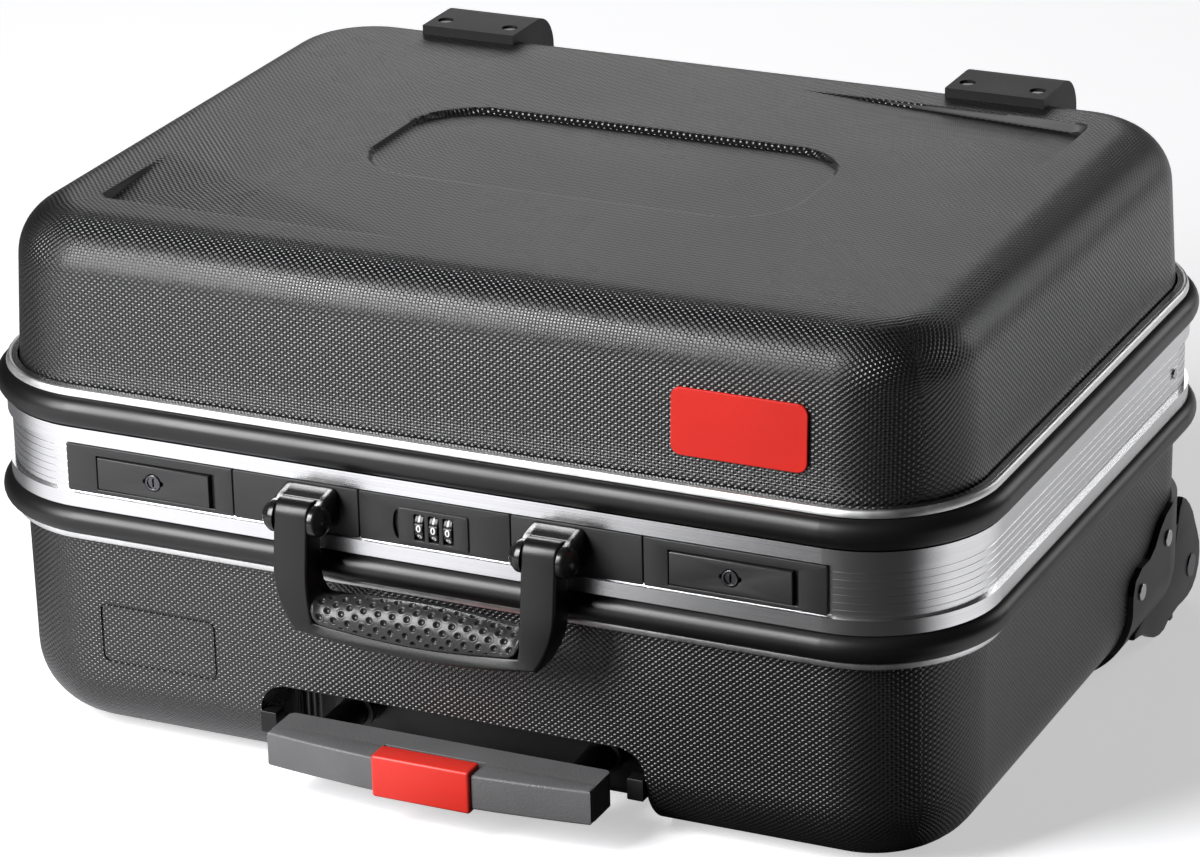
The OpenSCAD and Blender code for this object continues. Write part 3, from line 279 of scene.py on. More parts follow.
for look, worn in WORN.items():
    for name in worn.split():
        for node in (name, f"{name}_left", f"{name}_right"):
            if node in nodes:
                nodes[node].data.materials.clear()
                nodes[node].data.materials.append(M[look])


# ---------- camera, floor and light ----------

def aim(azimuth, elevation, roll, target, distance):
    """Camera matrix from its angles round the object, in degrees."""
    az, el, ro = (math.radians(v) for v in (azimuth, elevation, roll))
    back = Vector((math.sin(az) * math.cos(el), -math.cos(az) * math.cos(el), math.sin(el)))
    right = (-back).cross(Vector((0, 0, 1))).normalized()
    up = right.cross(-back)
    side = math.cos(ro) * right + math.sin(ro) * up
    top = -math.sin(ro) * right + math.cos(ro) * up
    matrix = Matrix((side, top, back)).transposed().to_4x4()
    matrix.translation = target + back * distance
    return matrix


SENSOR, PHOTO_W, PHOTO_H = 36.0, 1200.0, 857.0
FOCAL_PX, CENTRE_U, CENTRE_V = 4938.86, 601.56, 412.33
camera_data = bpy.data.cameras.new("camera")
camera_data.sensor_width = SENSOR
camera_data.lens = FOCAL_PX * SENSOR / PHOTO_W
camera_data.shift_x = (PHOTO_W / 2 - CENTRE_U) / PHOTO_W
camera_data.shift_y = (CENTRE_V - PHOTO_H / 2) / PHOTO_W
camera = bpy.data.objects.new("camera", camera_data)
bpy.context.scene.collection.objects.link(camera)
camera.matrix_world = aim(25.28, 21.88, -1.31, Vector((-2.43, -1.13, 131.42)) * MM, 2.4225)
bpy.context.scene.camera = camera
bpy.context.scene.view_settings.view_transform = "Standard"


# The studio's two dark parts, by the angles of their soft edges from the object's front
NEAR_START, NEAR_END = (-14, 2), (57, 75)
FAR_START, FAR_END, FAR_DARK = (-145, -125), (-76, -58), 0.85
# How bright the world is for diffuse and glossy rays, in its dark parts and where it shows
AMBIENT, GLOSSY, UNLIT, SHOWN = 0.32, 1.0, 0.03, 0.95
# Where the world darkens towards the zenith, and by how much
ZENITH_LOW, ZENITH_HIGH, ZENITH_DARK = 0.5, 0.85, 0.9
FLOOR_HALF, FLOOR_Z = 6, -0.0006
# The floor's pale grey, and the painted shade it takes in the studio's dark parts for all rays but the
# camera's
FLOOR_PALE, FLOOR_SHADE = 0.80, 0.03
# The floor's own light: as seen, and as reflected from its left to its right
FLOOR_SEEN, GLOW_LEFT, GLOW_RIGHT, GLOW_X0, GLOW_X1 = 0.5, 0.12, 0.40, -0.3, 0.5


def dark_sector(t, x, y):
    """1 in the dark part of the studio, a little less in the far one, and 0 elsewhere."""
    turn = t.math("ARCTAN2", x, t.math("MULTIPLY", y, -1.0))

    def edge(angles, a, b):
        low, high = (math.radians(v) for v in angles)
        return t.ramp(turn, low, high, a, b)

    near = t.math("MULTIPLY", edge(NEAR_START, 0.0, 1.0), edge(NEAR_END, 1.0, 0.0))
    far = t.math("MULTIPLY", edge(FAR_START, 0.0, FAR_DARK), edge(FAR_END, 1.0, 0.0))
    return t.math("ADD", near, far)


def ray_kinds(t):
    """Whether a ray comes from the camera, a glossy or a transmitting surface."""
    outputs = t.tree.nodes.new("ShaderNodeLightPath").outputs
    return outputs["Is Camera Ray"], outputs["Is Glossy Ray"], outputs["Is Transmission Ray"]


floor_mesh = bpy.data.meshes.new("floor")
floor_mesh.from_pydata([(FLOOR_HALF * i, FLOOR_HALF * k, 0) for i, k in CORNERS], [], [range(4)])
floor = bpy.data.objects.new("floor", floor_mesh)
floor.location.z = FLOOR_Z
bpy.context.scene.collection.objects.link(floor)
t = material("floor_pale")
camera_ray, glossy_ray, through_ray = ray_kinds(t)
x, y, z = t.xyz()
# hidden is painted shade: in the studio's dark parts the floor turns dark and stops glowing for all rays but
# the camera's, so reflections and bounced light there are dark
hidden = t.math("MULTIPLY", dark_sector(t, x, y), t.math("SUBTRACT", 1.0, camera_ray))
seen = t.math("MAXIMUM", t.math("MAXIMUM", camera_ray, glossy_ray), through_ray)
seen = t.math("MULTIPLY", seen, t.math("SUBTRACT", 1.0, hidden))
t.shader.inputs["Emission Color"].default_value = (1, 1, 1, 1)
glow = t.ramp(x, GLOW_X0, GLOW_X1, GLOW_LEFT, GLOW_RIGHT)
gain = t.math("MULTIPLY", camera_ray, t.math("SUBTRACT", FLOOR_SEEN, glow))
shine = t.math("ADD", glow, gain)
t.link(t.math("MULTIPLY", seen, shine), t.shader.inputs["Emission Strength"])
pale_with_shade = t.mix(hidden, grey(FLOOR_PALE), grey(FLOOR_SHADE))
floor_mesh.materials.append(t.finish(pale_with_shade, 0.7, 0.0, 0.3))

world = bpy.data.worlds.new("studio")
bpy.context.scene.world = world
t = Tree(world)
camera_ray, glossy_ray, through_ray = ray_kinds(t)
x, y, z = t.xyz("Generated")
shown = t.math("MAXIMUM", camera_ray, through_ray)
level = t.math("ADD", AMBIENT, t.math("MULTIPLY", glossy_ray, GLOSSY - AMBIENT))
zenith = t.ramp(z, ZENITH_LOW, ZENITH_HIGH, 0.0, ZENITH_DARK)
unlit = t.math("MAXIMUM", dark_sector(t, x, y), zenith)
level = t.math("MULTIPLY", level, t.ramp(unlit, 0.0, 1.0, 1.0, UNLIT))
level = t.math("MULTIPLY", level, t.math("SUBTRACT", 1.0, shown))
level = t.math("ADD", level, t.math("MULTIPLY", shown, SHOWN))
t.link(level, t.tree.nodes["Background"].inputs["Strength"])


def lamp(name, place, target, size, watts, size_y=None):
    """An area lamp at place that looks at target."""
    data = bpy.data.lights.new(name, "AREA")
    data.energy = watts
    data.size = size
    if size_y:
        data.shape = "RECTANGLE"
        data.size_y = size_y
    o = bpy.data.objects.new(name, data)
    bpy.context.scene.collection.objects.link(o)
    o.location = place
    o.rotation_euler = (Vector(target) - Vector(place)).to_track_quat("-Z", "Y").to_euler()


lamp("key_light", (-1.15, -1.8, 1.35), (0, 0, 0.16), 0.9, 78.0, 1.5)
lamp("top_light", (-0.9, 1.9, 0.95), (0, 0, 0.25), 1.3, 6.0, 0.8)
lamp("shoulder_light", (-0.8, -1.4, 1.7), (-0.1, -0.15, 0.24), 0.5, 11.0)
lamp("side_light", (1.3, 1.8, 0.8), (0.2, 0, 0.15), 0.8, 6.0)


# ---------- mesh helpers ----------

def piece(name, shape, look, body, stands_for, sharp=32.0):
    """A new piece on its body, for the CAD nodes it stands for. Its shape is a list of points
    in millimetres and one of faces. Edges sharper than sharp, in degrees, stay hard."""
    verts, faces = shape
    mesh = bpy.data.meshes.new(name)
    mesh.from_pydata([(x * MM, y * MM, z * MM) for x, y, z in verts], [], faces)
    mesh.validate()
    bm = bmesh.new()
    bm.from_mesh(mesh)
    bmesh.ops.recalc_face_normals(bm, faces=bm.faces)
    bm.to_mesh(mesh)
    bm.free()
    for p in mesh.polygons:
        p.use_smooth = True
    mesh.set_sharp_from_angle(angle=math.radians(sharp))
    o = bpy.data.objects.new(name, mesh)
    bpy.context.scene.collection.objects.link(o)
    mesh.materials.append(M[look])
    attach(o, body)
    if stands_for:
        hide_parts(*stands_for)
    return o


def join(*parts):
    """One list of points and faces from several."""
    verts, faces = [], []
    for v, f in parts:
        n = len(verts)
        verts += v
        faces += [tuple(i + n for i in face) for face in f]
    return verts, faces


def mirror(shape, side):
    """The shape as it is for side 1, and mirrored to the left for side -1."""
    return [(side * x, y, z) for x, y, z in shape[0]], shape[1]


def loft(sections):
    """Closed skin over sections of equal count, each a ring of points, with flat ends."""
    n = len(sections[0])
    verts = [p for s in sections for p in s]
    faces = []
    for k in range(len(sections) - 1):
        for i in range(n):
            a, b = k * n + i, k * n + (i + 1) % n
            faces.append((a, b, b + n, a + n))
    faces.append(tuple(range(n))[::-1])
    faces.append(tuple(range((len(sections) - 1) * n, len(sections) * n)))
    return verts, faces


def box_outline(x0, x1, z0, z1, r, n=3):
    """Rounded rectangle as 2D points, anticlockwise, with n steps in each corner."""
    w, h, cx, cz = x1 - x0, z1 - z0, (x0 + x1) / 2, (z0 + z1) / 2
    pts = []
    for k, (sx, sz) in enumerate(CORNERS):
        for i in range(n + 1):
            a = math.pi / 2 * (k + i / n)
            x, z = cx + sx * (w / 2 - r) + r * math.cos(a), cz + sz * (h / 2 - r) + r * math.sin(a)
            pts.append((x, z))
    return pts


def hole(x0, x1, z0, z1, r):
    """Rounded rectangle that runs clockwise, for a hole."""
    return box_outline(x0, x1, z0, z1, r)[::-1]


def offset(loop, d):
    """The outline moved in by d at each corner, for an outline that runs anticlockwise."""
    out = []
    n = len(loop)
    for i in range(n):
        ax, ay = loop[i][0] - loop[i - 1][0], loop[i][1] - loop[i - 1][1]
        bx, by = loop[(i + 1) % n][0] - loop[i][0], loop[(i + 1) % n][1] - loop[i][1]
        la, lb = math.hypot(ax, ay), math.hypot(bx, by)
        nx, ny = -(ay / la + by / lb), ax / la + bx / lb
        k = 2 * d / max(nx * nx + ny * ny, 0.6)
        out.append((loop[i][0] + nx * k, loop[i][1] + ny * k))
    return out


def slab(outline, levels, axis="y", holes=(), seat=None):
    """Closed body from an outline at several levels (place along the axis, inset), with holes.

    Holes run clockwise, so that an inset widens them. seat moves each point at the end."""
    loops = [outline, *holes]
    verts, faces, rings = [], [], []
    for place, inset in levels:
        row = []
        for loop in loops:
            row.append(len(verts))
            for a, b in offset(loop, inset):
                verts.append({"x": (place, a, b), "y": (a, place, b), "z": (a, b, place)}[axis])
        rings.append(row)
    for low, high in zip(rings, rings[1:]):
        for a, b, loop in zip(low, high, loops):
            n = len(loop)
            for i in range(n):
                k = (i + 1) % n
                faces.append((a + i, a + k, b + k, b + i))
    for row in (rings[0], rings[-1]):
        bm = bmesh.new()
        points, edges = {}, []
        for start, loop in zip(row, loops):
            ring = [bm.verts.new(verts[start + i]) for i in range(len(loop))]
            points.update((v, start + i) for i, v in enumerate(ring))
            edges += [bm.edges.new(ends) for ends in zip(ring, ring[1:] + ring[:1])]
        filled = bmesh.ops.triangle_fill(bm, use_beauty=True, use_dissolve=False, edges=edges)
        for g in filled["geom"]:
            if isinstance(g, bmesh.types.BMFace):
                faces.append(tuple(points[v] for v in g.verts))
        bm.free()
    if seat:
        verts = [seat(*v) for v in verts]
    return verts, faces


def edge_levels(back, front, r, n=3):
    """Levels of a slab from its flat back to its front, whose edge is rounded by r."""
    step = 1 if front > back else -1
    levels = [(back, 0.0)]
    for i in range(n + 1):
        a = math.pi / 2 * i / n
        levels.append((front - step * r * (1 - math.sin(a)), r * (1 - math.cos(a))))
    return levels


def both_ends(x0, x1, r, n=4):
    """Levels of a slab from x0 to x1 with both its ends rounded by r."""
    levels = []
    for i in range(n + 1):
        a = math.pi / 2 * (n - i) / n
        levels.append((x0 + r * (1 - math.sin(a)), r * (1 - math.cos(a))))
    return levels + [(x0 + x1 - x, inset) for x, inset in reversed(levels)]


def circle(cx, cz, r, n=40):
    turns = (2 * math.pi * i / n for i in range(n))
    return [(cx + r * math.cos(a), cz + r * math.sin(a)) for a in turns]


def arc(cy, cz, r, a0, a1, n):
    """Points on a circle from angle a0 to a1, in degrees."""
    pts = []
    for i in range(n + 1):
        a = math.radians(a0 + (a1 - a0) * i / n)
        pts.append((cy + r * math.cos(a), cz + r * math.sin(a)))
    return pts


def lathe_x(profile, cx, cy, cz, n):
    """Turns (x, radius) points round an axis along X."""
    return loft([[(cx + x, y, z) for y, z in circle(cy, cz, r, n)] for x, r in profile])


def smooth(v, low, high):
    """0 up to low and 1 from high on, with a soft step between."""
    v = min(1.0, max(0.0, (v - low) / (high - low)))
    return v * v * (3 - 2 * v)


PLAN_CORNER, PLAN_X, PLAN_Y = 20, 16, 12


def plan(d):
    """The frame's plan moved out by d, as points."""
    r = FRAME_R + d
    pts = []
    starts = [(CORNER_X * i, CORNER_Y * k) for i, k in CORNERS]
    for k, (x, y) in enumerate(starts):
        for i in range(PLAN_CORNER + 1):
            a = math.pi / 2 * (k + i / PLAN_CORNER)
            pts.append((x + r * math.cos(a), y + r * math.sin(a)))
        nx, ny = starts[(k + 1) % 4]
        a = math.pi / 2 * (k + 1)
        count = PLAN_X if k % 2 == 0 else PLAN_Y
        for i in range(1, count):
            f = i / count
            pts.append((x + (nx - x) * f + r * math.cos(a), y + (ny - y) * f + r * math.sin(a)))
    return pts


def dress(node, radius):
    """Rounds a hard part's edges a little, without touching its own mesh."""
    o = nodes[node]
    weld = o.modifiers.new("weld", "WELD")
    weld.merge_threshold = 0.00001
    flat = o.modifiers.new("flat", "DECIMATE")
    flat.decimate_type = "DISSOLVE"
    flat.angle_limit = math.radians(0.6)
    bevel = o.modifiers.new("bevel", "BEVEL")
    bevel.width = radius * MM
    bevel.segments = 3
    bevel.limit_method = "ANGLE"
    bevel.angle_limit = math.radians(35.0)
    bevel.use_clamp_overlap = True
    normals = o.modifiers.new("normals", "WEIGHTED_NORMAL")
    normals.keep_sharp = True


# ---------- lid ----------

# Half the width of the soft steps round the dents and the panel
STEP_SOFT = 1.2
# Rounding and sink of the line where a dent's floor meets the top
RUN_SOFT, RUN_SINK = 0.08, 0.05
# The part of the top that is a grid, its steps, and where its lines lie closer
GRID_X, GRID_Y, GRID_OUT, GRID_IN, GRID_FINE = 204.0, 138.0, 2.4, 8.0, 5.0
STEP_EDGE, STEP_FINE, EDGE_REACH = 0.6, 1.3, 8
FINE_X = ((-203.0, -197.0), (-115.0, -76.0), (76.0, 115.0), (197.0, 203.0))
FINE_Y = ((-137.0, -131.0), (-54.5, -16.0), (16.0, 54.5), (131.0, 137.0))
WALL_STEPS, ARC_STEPS = 4, 16


def lid_depth(x, y):
    """How far the lid's top lies below its flat height, at a place in plan."""
    long = math.hypot(DENT_X, DENT_Y)
    reach = DENT_X * DENT_Y / long
    depth = 0.0
    for s in (1, -1):
        px, py = s * x + DENT_CORNER_X, s * y + DENT_CORNER_Y
        off = reach - (px * DENT_Y + py * DENT_X) / long
        run = DENT_T * off / reach
        run = (run + math.sqrt(run * run + RUN_SOFT)) / 2 - RUN_SINK
        wall = min(px, py)
        if px < DENT_R and py < DENT_R:
            wall = DENT_R - math.hypot(DENT_R - px, DENT_R - py)
        depth += max(0.0, run) * smooth(wall, -STEP_SOFT, STEP_SOFT)
    r = PANEL_R
    qx, qy = abs(x) - PANEL_W / 2 + r, abs(y) - PANEL_D / 2 + r
    out = math.hypot(max(qx, 0), max(qy, 0)) + min(max(qx, qy), 0) - r
    return depth + PANEL_T * smooth(-out, -STEP_SOFT, STEP_SOFT)


def grid_lines(half, step, fine):
    """Places from -half to half, step apart, closer in the fine stretches of a close grid."""
    places = [-half]
    while places[-1] < half - 1e-6:
        v = places[-1]
        near = step < GRID_FINE and any(a - 0.1 <= v < b for a, b in fine)
        short = STEP_EDGE if abs(v) > half - EDGE_REACH else STEP_FINE
        places.append(min(half, v + (min(step, short) if near else step)))
    return places


def lid_sheet():
    """The lid's skin: outer and inner faces with the sunk places of its top."""
    verts, faces = [], []
    count = len(plan(0))

    def ring(d, z):
        start = len(verts)
        verts.extend((x, y, z) for x, y in plan(d))
        return start

    def band(a, b):
        for i in range(count):
            k = (i + 1) % count
            faces.append((a + i, a + k, b + k, b + i))

    def skin(t, step):
        """One face, t inside the outer one. Returns its rim and the two edges of its gap."""
        edge_r, rise = LID_EDGE_R - t, LID_Z - LID_EDGE_R - LID_RIM
        inset = -SHELL_INSET - t
        centre = inset - rise * math.tan(LID_DRAFT) - edge_r / math.cos(LID_DRAFT)
        rings = []
        for i in range(WALL_STEPS):
            f = i / WALL_STEPS
            rings.append(ring(inset - f * rise * math.tan(LID_DRAFT), LID_RIM + f * rise))
        for i in range(ARC_STEPS + 1):
            a = LID_DRAFT + (math.pi / 2 - LID_DRAFT) * i / ARC_STEPS
            z = LID_Z - LID_EDGE_R + edge_r * math.sin(a)
            rings.append(ring(centre + edge_r * math.cos(a), z))
        for a, b in zip(rings, rings[1:]):
            band(a, b)
        xs, ys = grid_lines(GRID_X, step, FINE_X), grid_lines(GRID_Y, step, FINE_Y)
        nx, ny = len(xs) - 1, len(ys) - 1
        start = len(verts)
        for x in xs:
            for y in ys:
                verts.append((x, y, LID_Z - t - lid_depth(x, y)))

        def at(i, k):
            return start + i * (ny + 1) + k

        for i in range(nx):
            for k in range(ny):
                faces.append((at(i, k), at(i + 1, k), at(i + 1, k + 1), at(i, k + 1)))
        border = [at(i, 0) for i in range(nx)] + [at(nx, k) for k in range(ny)]
        border += [at(i, ny) for i in range(nx, 0, -1)] + [at(0, k) for k in range(ny, 0, -1)]
        return rings[0], [rings[-1] + i for i in range(count)], border

    rim_out, ring_out, border_out = skin(0, GRID_OUT)
    rim_in, ring_in, border_in = skin(SHELL_T, GRID_IN)
    band(rim_out, rim_in)
    bm = bmesh.new()
    points = [bm.verts.new(v) for v in verts]
    bm.verts.ensure_lookup_table()
    for loops in ((ring_out, border_out), (ring_in, border_in)):
        edges = []
        for loop in loops:
            for a, b in zip(loop, loop[1:] + loop[:1]):
                edges.append(bm.edges.new((points[a], points[b])))
        filled = bmesh.ops.triangle_fill(bm, use_beauty=False, use_dissolve=False, edges=edges)
        for g in filled["geom"]:
            if isinstance(g, bmesh.types.BMFace):
                faces.append(tuple(v.index for v in g.verts))
    bm.free()
    return verts, faces


lid = piece("lid_skin", lid_sheet(), "lid_weave", "lid", ["lid_shell"], 50.0)
lid.data.materials.append(M["inside"])
for p in lid.data.polygons:
    if p.normal.dot(p.center - Vector((0, 0, BAND_Z * MM))) < 0:
        p.material_index = 1


# ---------- number dials ----------

DIAL_R, DIAL_W, DIAL_PITCH, DIAL_Y, DIAL_Z = 8.0, 4.6, 7.4, -182.1, 143.7
DIAL_POINTS, DIAL_EDGE, DIAL_EDGE_W, GROOVE, GROOVE_W = 120, 0.45, 0.4, 0.45, 0.13
DIGIT_H, DIGIT_BOLD, DIGIT_PROUD, DIGIT_STRIPS = 3.7, 0.025, 0.02, 12


def on_dial(x, r, turn):
    """The point of a dial at radius r, turned up from its front."""
    return x, DIAL_Y - r * math.cos(turn), DIAL_Z + r * math.sin(turn)


def dial_body(cx):
    """A dial with a groove between each two of its ten numbers."""
    rim, sections = DIAL_W / 2, []
    for x, cut in ((-rim, DIAL_EDGE), (-rim + DIAL_EDGE_W, 0.0), (rim - DIAL_EDGE_W, 0.0), (rim, DIAL_EDGE)):
        ring = []
        for i in range(DIAL_POINTS):
            a = 2 * math.pi * i / DIAL_POINTS
            between = abs(((a * 10 / (2 * math.pi)) % 1.0) - 0.5)
            ring.append(on_dial(cx + x, DIAL_R - cut - GROOVE * (1 - smooth(between, 0.0, GROOVE_W)), a))
        sections.append(ring)
    return loft(sections)


def digit_faces(text):
    """Flat mesh of one number, centred, DIGIT_H high, in (x, up), cut in strips to bend it."""
    curve = bpy.data.curves.new("digit", "FONT")
    curve.body = text
    curve.size = 1.0
    curve.resolution_u = 3
    curve.offset = DIGIT_BOLD
    o = bpy.data.objects.new("digit", curve)
    bpy.context.scene.collection.objects.link(o)
    graph = bpy.context.evaluated_depsgraph_get()
    bm = bmesh.new()
    bm.from_mesh(o.evaluated_get(graph).to_mesh())
    o.evaluated_get(graph).to_mesh_clear()
    heights = [v.co.y for v in bm.verts]
    for i in range(1, DIGIT_STRIPS):
        level = min(heights) + (max(heights) - min(heights)) * i / DIGIT_STRIPS
        geom = bm.verts[:] + bm.edges[:] + bm.faces[:]
        bmesh.ops.bisect_plane(bm, geom=geom, dist=1e-6, plane_co=(0, level, 0), plane_no=(0, 1, 0))
    bm.verts.index_update()
    pts = [(v.co.x, v.co.y) for v in bm.verts]
    polys = [tuple(v.index for v in f.verts) for f in bm.faces]
    bm.free()
    bpy.data.objects.remove(o)
    bpy.data.curves.remove(curve)
    x0, x1 = min(p[0] for p in pts), max(p[0] for p in pts)
    z0, z1 = min(p[1] for p in pts), max(p[1] for p in pts)
    k = DIGIT_H / (z1 - z0)
    return [((x - (x0 + x1) / 2) * k, (z - (z0 + z1) / 2) * k) for x, z in pts], polys


digits = [digit_faces(str(i)) for i in range(10)]
for number in range(3):
    cx = (number - 1) * DIAL_PITCH
    name = f"dial_{number + 1}"
    body = f"number_dial_{number + 1}"
    piece(f"{name}_ring", dial_body(cx), "dial", body, [name])
    r, parts = DIAL_R + DIGIT_PROUD, []
    for value, (pts, polys) in enumerate(digits):
        turn = 2 * math.pi * value / 10
        parts.append(([on_dial(cx + x, r, up / DIAL_R + turn) for x, up in pts], polys))
    piece(f"{name}_numbers", join(*parts), "digit", body, (), 80.0)


# ---------- carry handle's pad ----------

BAR_Z, BAR_H, RIM_H = 88.0, 25.0, 6.0
PAD_X, PAD_FRONT, PAD_BULGE, PAD_BACK = 54.2, -212.9, 0.8, -198.0
PAD_R, PAD_TOP_Y, PAD_ARCH, PAD_SAG, PAD_CORNER = 12.0, -201.7, 600.0, 720, 5.0
PAD_COLUMNS, PAD_ROWS, PAD_SEAM, PAD_MIN, PAD_STEP = 216, 74, 0.1, 0.4, 0.4
EDGE_SINK, EDGE_W = 0.9, 1.3
# The pad narrows by TAPER over TAPER_H towards its bottom, like the handle's arms
TAPER, TAPER_H = 4.0, 36.0
# Dimples: pitch, row height, first row; how far they keep from the edge; how the rows bend
DIMPLE_PITCH, DIMPLE_ROW, DIMPLE_START, DIMPLE_MARGIN, ROW_BEND = 7.7, 3.85, 2.6, 2.2, 0.55
DIMPLE_T, DIMPLE_IN, DIMPLE_OUT, DIMPLE_REACH = 1.1, 0.6, 1.75, 2.4
DIMPLE_RIM_H, DIMPLE_RIM_R, DIMPLE_RIM_W = 0.14, 1.9, 0.25


def pad_mesh():
    """Soft pad with staggered round dimples, rounded at its top and lower corners."""
    dots = []
    for k in range(-1, 7):
        for i in range(-7, 8):
            shift = DIMPLE_PITCH / 2 if k % 2 else 0
            dots.append((i * DIMPLE_PITCH + shift, DIMPLE_START + k * DIMPLE_ROW))
    top_len = PAD_R * math.pi / 2
    verts, faces = [], []
    for i in range(PAD_COLUMNS + 1):
        x = -PAD_X + 2 * PAD_X * i / PAD_COLUMNS
        bottom = BAR_Z + RIM_H + PAD_SEAM + x * x / PAD_SAG
        end = abs(x) - PAD_X + PAD_CORNER
        if end > 0:
            bottom += PAD_CORNER - math.sqrt(max(0.0, PAD_CORNER ** 2 - end * end))
        bend = BAR_Z + BAR_H - PAD_R - x * x / PAD_ARCH
        flat_len = max(PAD_MIN, bend - bottom)
        total = flat_len + top_len
        for k in range(PAD_ROWS + 1):
            v = total * k / PAD_ROWS
            if v < flat_len:
                y, z = PAD_FRONT - PAD_BULGE * math.sin(math.pi / 2 * (v / flat_len)), bottom + v
                ny, nz = -1.0, 0.0
            else:
                a = (v - flat_len) / PAD_R
                y = PAD_TOP_Y - PAD_R * math.cos(a)
                z = bottom + flat_len + PAD_R * math.sin(a)
                ny, nz = -math.cos(a), math.sin(a)
            edge = min(v, total - v, PAD_X - abs(x))
            sink = EDGE_SINK * (1 - smooth(edge, 0.0, EDGE_W))
            level = v + (bottom - BAR_Z - RIM_H) * ROW_BEND
            for dx, dv in dots:
                near = abs(x - dx) < DIMPLE_REACH and abs(level - dv) < DIMPLE_REACH
                if near and edge > DIMPLE_MARGIN:
                    r = math.hypot(x - dx, level - dv)
                    rim = DIMPLE_RIM_H * math.exp(-((r - DIMPLE_RIM_R) / DIMPLE_RIM_W) ** 2)
                    sink += DIMPLE_T * (1 - smooth(r, DIMPLE_IN, DIMPLE_OUT)) - rim
            narrow = 1 - TAPER * max(0.0, 1 - (z - BAR_Z) / TAPER_H) ** 2 / PAD_X
            verts.append((x * narrow, y - ny * sink, z - nz * sink))
    n, top = PAD_ROWS + 1, PAD_ROWS
    for i in range(PAD_COLUMNS):
        for k in range(top):
            a = i * n + k
            faces.append((a, a + 1, a + n + 1, a + n))
    back = len(verts)
    for i in range(PAD_COLUMNS + 1):
        verts.append((verts[i * n][0], PAD_BACK, verts[i * n][2]))
        verts.append((verts[i * n][0], PAD_BACK, verts[i * n + top][2] - PAD_STEP))
    for i in range(PAD_COLUMNS):
        a, b = back + 2 * i, back + 2 * i + 2
        faces.append((a, b, b + 1, a + 1))
        faces.append(((i + 1) * n, b, a, i * n))
        faces.append((i * n + top, (i + 1) * n + top, b + 1, a + 1))
    for i in (0, PAD_COLUMNS):
        side = [i * n + k for k in range(n)] + [back + 2 * i + 1, back + 2 * i]
        faces.append(tuple(side))
    return verts, faces


piece("handle_grip_pad", pad_mesh(), "pad", "handle", ["handle_pad"], 60.0)


# ---------- carry handle's brackets ----------

ARM_X, ARM_W, EAR_W, EAR_R, EAR_EDGE, CLEAR = 63.0, 17.6, 5.0, 7.0, 3.2, 0.3
PIVOT_Y, PIVOT_Z, HOOD_Y, HOOD_LIP_Y = -203.0, 148.0, -195.3, -198.4
EAR_Y, EAR_Z, HOOD_SIDE = PIVOT_Y - 0.6, PIVOT_Z - 2.2, 0.5
# The ears' outer ends are domes: radius, length past their foot, foot, and their blunt tip
DOME_R, DOME_L, DOME_FOOT, DOME_TIP, DOME_STEPS, DOME_POINTS = EAR_R + 0.6, 6.8, 1.0, 0.02, 14, 44
PLATE_X0, PLATE_W, PLATE_H, PLATE_Z, PLATE_T = 39.1, 65.4, 24.0, 133.4, 2.3
PLATE_CORNER, PLATE_EDGE, LOCK_EDGE, WEB_Y = 0.6, 0.35, 0.3, -186.0
PLATE_Y = WEB_Y - PLATE_T


def plate_part(x0, w, holes=()):
    """A front plate with softly rounded edges."""
    outline = box_outline(x0, x0 + w, PLATE_Z, PLATE_Z + PLATE_H, PLATE_CORNER)
    return slab(outline, edge_levels(WEB_Y, PLATE_Y, PLATE_EDGE), "y", holes)


def bracket_part(side):
    """Hood over the arm's knuckle and the two domed ears that hold the handle's pin."""
    top = (PLATE_Y + 0.4, PLATE_Z + PLATE_H - 0.9)
    brow = (HOOD_LIP_Y + 0.5, PIVOT_Z + EAR_R - 0.6)
    low = (PLATE_Y + 0.4, PLATE_Z + 3.6)
    gap_r = EAR_R + CLEAR + 0.05
    hood = [top, brow, (HOOD_LIP_Y, PIVOT_Z + EAR_R - 1.0)]
    hood += arc(PIVOT_Y, PIVOT_Z, gap_r, 52, -20, 10) + [(HOOD_Y, PIVOT_Z - EAR_R), low]
    ear = [top, brow] + arc(EAR_Y, EAR_Z, EAR_R + 0.9, 74, 262, 20)
    ear += [(HOOD_Y, PIVOT_Z - EAR_R - 0.8), low]
    half = ARM_W / 2 + CLEAR
    hood_ends = (ARM_X - half - HOOD_SIDE, 0.0), (ARM_X + half + HOOD_SIDE, 0.0)
    parts = [slab(hood, hood_ends, "x")]
    for s in (-1, 1):
        inner, outer = ARM_X + s * half, ARM_X + s * (half + EAR_W)
        dome = [(0.0, DOME_TIP), (0.0, DOME_R)]
        for i in range(DOME_STEPS + 1):
            a = math.pi / 2 * i / DOME_STEPS
            dome.append((s * (DOME_FOOT + DOME_L * math.sin(a)), max(DOME_TIP, DOME_R * math.cos(a))))
        parts.append(slab(ear, edge_levels(inner, outer, EAR_EDGE, 6), "x"))
        parts.append(lathe_x(dome, inner + s * 0.1, EAR_Y, EAR_Z, DOME_POINTS))
    return mirror(join(*parts), side)


for side, name in SIDES:
    piece(
        f"handle_mount_{name}", bracket_part(side), "mount", "case_base",
        [f"handle_bracket_{name}"], 40.0
    )
    x0 = PLATE_X0 if side > 0 else -PLATE_X0 - PLATE_W
    plate = plate_part(x0, PLATE_W)
    piece(f"handle_plate_{name}", plate, "plate", "case_base", ())


# ---------- carry handle ----------

ARM_IN, ARM_OUT, LEAN_H, LEAN_OUT, LEAN_IN, BOW_R = 54.2, 71.8, 36.0, 13.0, 4.0, 360.0
BEND_OUT, BEND_IN, ARM_STEPS, BEND_STEPS, BAR_STEPS, CROWN_STEPS = 5.0, 4.0, 26, 10, 20, 9
KNUCKLE_R, ARM_EDGE, RIM_EDGE, LIP_SLOPE = 7.0, 1.3, 2.9, 1.9
# The lip below the pad slopes up to this share of its width; bands as narrow as LIP_W are lip
LIP_SHARE, LIP_W, LIP_BLEND = 0.78, 17.0, 10.0
